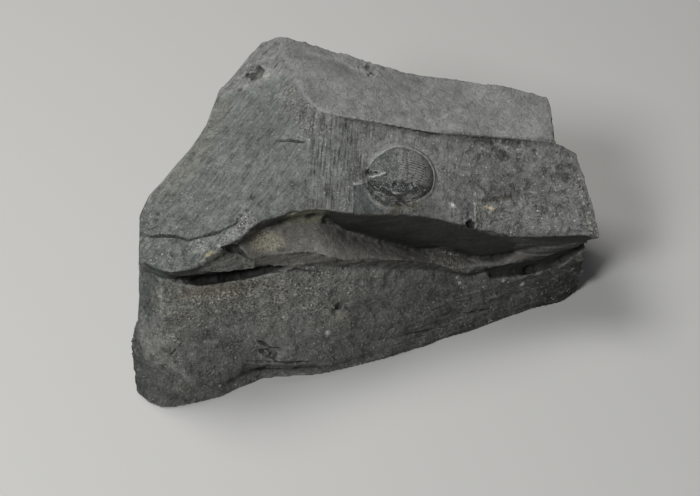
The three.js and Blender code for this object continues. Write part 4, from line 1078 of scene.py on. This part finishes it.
def stoneFinish():
    stone = Finish("mudstone")
    inks = stoneInks
    place = stone.place()
    tint = stone.painted("tint", "Color")
    chip = stone.painted("chip")
    dust = stone.painted("dust")
    shade = stone.painted("shade")
    crumbly = stone.painted("crumbly")
    bedded = stone.painted("bedded")
    scraped = stone.painted("scraped")
    smeared = stone.painted("smeared")
    fibrous = stone.painted("fibrous")
    blotchy = stone.painted("blotchy")
    cloud = stone.noise(place, 9, 3)
    mottle = stone.noise(place, 2.8, 4, 0.6, 0.4)
    grain = stone.noise(place, 0.8, 3, 0.65)
    flecks = stone.noise(place, 0.42, 2, 0.6)
    # marks with a direction: scrapes down the slope, smears across the top, thin beds and upright fibres
    scrapes = stone.noise(stone.scaled(place, (1, 0.06, 0.06), (0.0, 0.0, 0.08)), 0.6, 3, 0.6, 0.15)
    smears = stone.noise(stone.scaled(place, (1, 0.16, 0.16), (0.0, 0.0, 0.6)), 0.8, 4, 0.65, 0.5)
    sheets = stone.noise(stone.scaled(place, (0.07, 0.07, 1), (0.1, 0.05, 0.0)), 0.7, 4, 0.65, 0.2)
    fibres = stone.noise(stone.scaled(place, (1, 1, 0.12), (0.0, 0.3, 0.0)), 0.6, 3, 0.6)
    # short curved threads, where an even contour of a soft noise is cut up by another
    thread = stone.threads(stone.noise(place, 2.4, 2, 0.5, 0.8), 0.006, 0.028)
    thread = thread * stone.between(stone.noise(place, 3.1, 2), 0.5, 0.58)
    crack = stone.noise(stone.scaled(place, (0.8, 1, 1.3)), 4.3, 3, 0.55, 0.5)
    crack = stone.threads(crack, 0.003, 0.012) * stone.between(mottle, 0.5, 0.6)
    # dark blotches with a firm edge
    blotch = stone.between(stone.noise(place, 3.6, 5, 0.6, 0.6), 0.53, 0.60)
    # pale crumbs of shell and spar in swarms on the front, and dark gaps among them
    swarm = stone.between(stone.noise(place, 5, 3, 0.65), 0.42, 0.60, 0.1, 1.0)
    crumbly = crumbly * (0.3 + 0.7 * swarm)
    crumbs = stone.between(grain + 0.5 * (mottle - 0.5), 0.53, 0.59) * (0.35 + 0.65 * swarm)
    bits = stone.between(stone.cells(place, 1.2), 0.36, 0.26) * stone.between(flecks, 0.44, 0.51)
    bits = bits * (0.3 + 0.7 * swarm)
    holes = stone.between(grain + 0.3 * (flecks - 0.5), 0.46, 0.37)
    specks = stone.between(stone.cells(place, 1.9), 0.2, 0.1) * stone.between(flecks, 0.5, 0.56)
    uneven = 0.8 * (cloud - 0.5) + (1.1 + 0.8 * blotchy) * (mottle - 0.5)
    uneven = uneven + (0.4 + 0.9 * blotchy + 1.8 * crumbly) * (grain + flecks - 1.0)
    marks = scraped * (scrapes - 0.5) * 3.2 + smeared * (smears - 0.5) * 2.3
    marks = marks + bedded * (sheets - 0.5) * 3.0 + fibrous * (fibres - 0.5) * 2.6
    tone = stone.maths("MAXIMUM", 1.06 + uneven + marks - 0.4 * blotchy * blotch, 0.12)
    grey = stone.node("ShaderNodeCombineColor", {}, {0: tone, 1: tone, 2: tone})
    colour = stone.mix(tint, grey, 1.0, "MULTIPLY")
    colour = stone.mix(colour, inks["crumb"], crumbs * crumbly * 0.85)
    colour = stone.mix(colour, inks["bit"], bits * crumbly)
    colour = stone.mix(colour, inks["hole"], holes * (0.1 + 0.8 * crumbly))
    colour = stone.mix(colour, inks["thread"], thread * blotchy * 0.75)
    colour = stone.mix(colour, inks["crack"], crack * blotchy * 0.6)
    colour = stone.mix(colour, inks["speck"], specks * blotchy * 0.9)
    dusty = dust * stone.between(grain, 0.3, 0.6, 0.45, 1.0)
    colour = stone.mix(colour, inks["dust"], dusty * 0.85)
    colour = stone.mix(colour, tint, chip)
    colour = stone.mix(colour, inks["shade"], shade * 0.85)
    stone.feed(stone.shader.inputs["Base Color"], colour)
    stone.feed(stone.shader.inputs["Roughness"], 0.62 + 0.3 * grain)
    stone.shader.inputs["Specular IOR Level"].default_value = inks["specular"]
    low = stone.bump(mottle - 0.25 * blotchy * blotch, 0.8)
    height = grain * (0.15 + 0.7 * crumbly) + 0.45 * scraped * scrapes + 0.4 * smeared * smears
    height = height + 1.2 * bedded * sheets + 0.7 * fibrous * fibres - 0.6 * crack + 0.4 * thread
    height = height + 0.5 * crumbly * (crumbs + bits)
    fine = stone.bump(height, 0.42, 1.0, low)
    stone.feed(stone.shader.inputs["Normal"], fine)
    return stone.material


shellMake = {
    "subdivisions": 7,
    "ribs": 13, "ribsFrom": 0.82, "ribsTo": -0.31, "ribHeight": 0.36, "ribBend": 0.06, "slant": 0.15,
    "axis": {"middle": -0.04, "width": 0.12, "height": 0.3},
    "furrow": {"right": 0.1, "left": -0.2, "width": 0.03, "height": -0.02},
    "glabella": {"middle": 0.0, "width": 0.2, "y": -0.69, "length": 0.17, "height": 0.6},
    "eye": {"middle": 0.02, "side": 0.34, "y": -0.5, "width": 0.1, "length": 0.1, "height": 0.7},
}

# marks on the shell, some of them painted highlights and shade: the points that each runs through, as shares
# of the half width and half length of the shell, its own half width and rise in mm, and how pale and how dark
# it is
shellMarks = [
    ([(-0.95, -0.41), (-0.84, -0.39), (-0.72, -0.32), (-0.61, -0.23), (-0.52, -0.19)], 0.36, 0.7, 1.0, 0),
    # the next two are holes at the left edge, with painted shade in them
    ([(-1.0, -0.34), (-0.95, -0.24), (-0.89, -0.24)], 0.75, -1.1, 0, 1.0),
    ([(-0.81, -0.24), (-0.78, -0.24)], 0.45, -0.7, 0, 1.0),
    ([(-0.94, -0.14), (-0.85, -0.17), (-0.71, -0.2)], 0.2, 0.15, 0.5, 0),
    ([(-0.91, -0.5), (-0.84, -0.54), (-0.74, -0.58)], 0.6, -0.4, 0, 0.9),
    ([(-0.84, -0.62), (-0.66, -0.71), (-0.46, -0.78), (-0.2, -0.85), (0.07, -0.87)], 1.1, -0.1, 0, 0.75),
    ([(0.28, -0.82), (0.45, -0.75), (0.6, -0.68)], 0.9, 0.1, 0.3, 0),
    ([(-0.7, -0.81), (-0.53, -0.87), (-0.32, -0.95), (-0.11, -0.98), (0.08, -0.98)], 0.22, 0.3, 0.7, 0),
    ([(-0.69, -0.72), (-0.5, -0.84), (-0.25, -0.92), (-0.01, -0.93)], 0.15, 0.15, 0.45, 0),
    ([(0.3, -0.93), (0.46, -0.86), (0.69, -0.73), (0.86, -0.59), (1.0, -0.34)], 0.28, 0.45, 0.85, 0),
    ([(0.5, -0.78), (0.67, -0.64), (0.79, -0.55), (0.93, -0.38)], 0.35, -0.4, 0, 0.85),
    # painted highlight: a pale crescent on the front of the head
    ([(-0.29, -0.72), (-0.2, -0.78), (-0.08, -0.8), (0.06, -0.75)], 0.26, 0.35, 0.95, 0),
    ([(-0.58, -0.61), (-0.41, -0.69), (-0.27, -0.78)], 0.18, 0.15, 0.5, 0),
    ([(-0.61, -0.78), (-0.57, -0.71), (-0.53, -0.64)], 0.13, 0.1, 0.45, 0),
    ([(0.0, -0.6), (0.09, -0.66), (0.13, -0.54)], 0.14, 0.1, 0.6, 0),
    ([(0.09, -0.66), (0.1, -0.74)], 0.12, 0.1, 0.5, 0),
    # painted highlight on the left eye
    ([(-0.33, -0.57), (-0.31, -0.61)], 0.3, 0.2, 1.0, 0),
    # painted highlight on the right eye
    ([(0.38, -0.34), (0.41, -0.41)], 0.26, 0.2, 1.0, 0),
    ([(-0.39, 0.13), (-0.37, 0.11)], 0.28, 0.15, 1.0, 0),
    # painted highlight on the front of the head
    ([(0.3, -0.72), (0.33, -0.71)], 0.2, 0.15, 0.9, 0),
    ([(0.53, -0.56), (0.57, -0.51), (0.66, -0.52), (0.62, -0.58), (0.53, -0.56)], 0.15, 0.2, 0.6, 0),
    ([(0.58, -0.545), (0.6, -0.54)], 0.28, -0.3, 0, 0.9),
    ([(0.74, -0.43), (0.85, -0.35), (0.97, -0.32), (0.93, -0.42), (0.74, -0.43)], 0.15, 0.2, 0.6, 0),
    ([(0.84, -0.4), (0.9, -0.38)], 0.3, -0.3, 0, 0.9),
    ([(-0.63, 0.2), (-0.53, 0.16), (-0.47, 0.2)], 0.13, 0.08, 0.5, 0),
    ([(-0.52, 0.05), (-0.43, -0.04), (-0.33, -0.12)], 0.15, 0.08, 0.6, 0),
    ([(-0.25, 0.15), (-0.19, 0.0), (-0.23, -0.16)], 0.13, 0.06, 0.4, 0),
    ([(-0.33, 0.02), (-0.28, -0.01)], 0.8, -0.05, 0, 0.35),
    ([(-0.56, 0.27), (-0.5, 0.27)], 0.5, -0.05, 0, 0.5),
    ([(-0.1, 0.73), (-0.08, 0.59), (-0.1, 0.45)], 0.45, -0.08, 0, 0.5),
    ([(0.02, 0.87), (0.09, 0.84)], 0.45, -0.1, 0, 0.7),
    ([(0.13, -0.13), (0.37, -0.07), (0.51, -0.06)], 0.15, 0.1, 0.6, 0),
    ([(0.58, 0.04), (0.79, 0.01), (0.99, 0.03)], 0.15, 0.1, 0.5, 0),
]


def bump(offset, width, sharpness=2):
    return np.exp(-np.abs(offset / width) ** sharpness)


def makeShell():
    form = shellMake
    bpy.ops.object.select_all(action="DESELECT")
    level = form["subdivisions"] - 0
    bpy.ops.mesh.primitive_ico_sphere_add(subdivisions=level, radius=1 * mm)
    shell = bpy.context.object
    shell.name = "trilobiteShell"
    mesh = shell.data
    ball = readPoints(mesh)
    x, y, z = ball.T
    up = np.maximum(z, 0)
    fade = np.clip(up * 2.5, 0, 1)
    # the ribs run across the crown and bend towards the head at the flanks
    bent = y - form["ribBend"] * (x - form["axis"]["middle"]) ** 2 * up
    phase = (form["ribsFrom"] - y) / (form["ribsFrom"] - form["ribsTo"]) * form["ribs"]
    inside = ramp(phase, -0.3, 0.4) * (1 - ramp(phase, form["ribs"] - 0.4, form["ribs"] + 0.2))
    crest = np.abs(np.sin(np.pi * phase)) ** 1.5
    # they are sharpest in the middle of the right flank, plain on the axis and worn off elsewhere
    patchy = np.clip(0.8 + 0.7 * lumps(ball, (0.35, 0.2, 0.3), 83), 0.1, 1.1)
    slant = x + form["slant"] * y
    flank = ramp(slant, 0.11, 0.18) * (1 - 0.8 * ramp(x, 0.5, 0.75)) * (1 - 0.6 * ramp(y, 0.42, 0.6))
    flank = flank * (0.35 + 0.65 * ramp(y, -0.2, -0.08))
    axial = ramp(slant, -0.22, -0.12) * (1 - ramp(slant, 0.04, 0.1))
    axial = axial * ramp(y, -0.12, 0) * (1 - ramp(y, 0.38, 0.5))
    worn = np.maximum(flank, 0.6 * axial) * patchy
    relief = form["ribHeight"] * inside * worn * (crest - 0.5)
    # lobes, head and eyes
    axis, furrow, head, eye = form["axis"], form["furrow"], form["glabella"], form["eye"]
    onHead = ramp(0.2 * x - y, 0.28, 0.44)
    lobes = axis["height"] * bump(slant - axis["middle"], axis["width"], 4)
    lobes += furrow["height"] * bump(slant - furrow["right"], furrow["width"])
    lobes += furrow["height"] * bump(slant - furrow["left"], furrow["width"])
    brow = bump(x - head["middle"], head["width"], 4) * bump(y - head["y"], head["length"], 3)
    eyes = bump(np.abs(x - eye["middle"]) - eye["side"], eye["width"], 3)
    eyes = eyes * bump(y - eye["y"], eye["length"], 3)
    relief += (1 - onHead) * lobes + onHead * head["height"] * brow + eye["height"] * eyes
    relief += (0.10 + 0.12 * onHead) * roughness(ball, 0.16, 81, 3)
    # single marks
    edge = 1 + (shellEdge(x, y) - 1) * np.hypot(x, y)
    flat = np.stack([x * edge * shellFrame["halfWidth"], bent * edge * shellFrame["halfLength"]], 1)
    spot = flat + 0.28 * np.stack([roughness(ball, 0.14, 85, 2), roughness(ball, 0.14, 87, 2)], 1)
    thick = 0.75 + 0.6 * lumps(ball, 0.12, 89)
    pale = 0.5 * inside * worn * crest ** 3 * (1 - onHead)
    dark = 0.8 * inside * worn * (1 - crest) ** 2
    top = z > 0
    for corners, wide, rise, paleness, darkness in shellMarks:
        line = alongLine(np.array(corners) * (shellFrame["halfWidth"], shellFrame["halfLength"]), 0.1)
        near = nearLine(spot, line, 2)[0]
        share = np.exp(-(near / (wide * thick)) ** 2) * top
        relief += rise * share / np.maximum(fade, 0.2)
        pale = np.maximum(pale * (1 - share * darkness), paleness * share)
        dark = np.maximum(dark * (1 - share * paleness), darkness * share)
    depth = z * np.where(top, shellFrame["crownHeight"], shellFrame["rootDepth"])
    local = np.column_stack([flat, depth + fade * relief])
    writePoints(mesh, local @ shellAxes() + np.array(shellFrame["middle"]))
    # pale holds the pale rib crests and marks, and the painted highlights on the head
    keepValues(mesh, "pale", np.clip(pale, 0, 1))
    keepValues(mesh, "dark", np.clip(dark, 0, 1))
    keepValues(mesh, "head", onHead * (1 - 0.5 * ramp(x, 0.1, 0.5) * ramp(-y, 0.55, 0.75)))
    # painted light: the right of the dome is made paler and the left darker, against the shading of the dome
    keepValues(mesh, "side", ramp(x + 0.2 * y, -0.7, 0.5))
    pickOnly(shell)
    bpy.ops.object.shade_smooth()
    print("shell: finished with", triangleCount(mesh), "triangles")
    return shell


# the colours of the shell and of its marks, and how much it shines
shellInks = {
    # low and high are the darker and paler tones of the shell, mixed by painted light across the dome and at
    # random
    "low": (0.050, 0.060, 0.054, 1),
    "high": (0.225, 0.222, 0.218, 1),
    "head": (0.020, 0.023, 0.022, 1),
    "mottle": (0.030, 0.035, 0.032, 1),
    "scratch": (0.34, 0.345, 0.33, 1),
    "groove": (0.02, 0.022, 0.021, 1),
    "pale": (0.44, 0.44, 0.42, 1),
    "specular": 0.5,
}


def shellFinish():
    shell = Finish("shell")
    inks = shellInks
    place = shell.place()
    pale = shell.painted("pale")
    dark = shell.painted("dark")
    head = shell.painted("head")
    side = shell.painted("side")
    grain = shell.noise(place, 0.5, 4, 0.6)
    cloud = shell.noise(place, 2.0, 4, 0.65)
    mottle = shell.noise(place, 0.9, 3, 0.6, 0.6)
    # the tone is paler to the right as painted light, and it varies at random with the cloud
    paler = side * 0.9 + 2.2 * (cloud - 0.5) + 0.06
    colour = shell.mix(inks["low"], inks["high"], paler)
    colour = shell.mix(colour, inks["head"], head * shell.between(mottle, 0.42, 0.6, 0.96, 0.6))
    colour = shell.mix(colour, inks["mottle"], shell.between(mottle, 0.46, 0.38) * 0.75)
    # fine pale scratches and grains
    thread = shell.threads(shell.noise(place, 1.1, 2, 0.5, 0.8), 0.006, 0.03)
    thread = thread * shell.between(grain, 0.47, 0.56)
    grains = shell.between(shell.cells(place, 0.8), 0.24, 0.12) * shell.between(grain, 0.48, 0.56)
    colour = shell.mix(colour, inks["scratch"], shell.maths("MAXIMUM", thread * 0.8, grains * 0.9))
    colour = shell.mix(colour, inks["groove"], dark * 0.85)
    # pale rib crests and marks, and painted highlights on the head
    colour = shell.mix(colour, inks["pale"], pale * shell.between(grain, 0.36, 0.52, 0.35, 1.0))
    shell.feed(shell.shader.inputs["Base Color"], colour)
    shell.feed(shell.shader.inputs["Roughness"], 0.56 - 0.3 * head + 0.4 * (grain - 0.5))
    shell.shader.inputs["Specular IOR Level"].default_value = inks["specular"]
    shell.feed(shell.shader.inputs["Normal"], shell.bump(grain + cloud + 1.2 * mottle, 0.28, 1.0))
    return shell.material


setRoom()

stone = makeStone()
stone.data.materials.append(stoneFinish())
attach(stone, "root")
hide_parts("matrix")

shell = makeShell()
shell.data.materials.append(shellFinish())
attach(shell, "root")
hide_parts("trilobite")
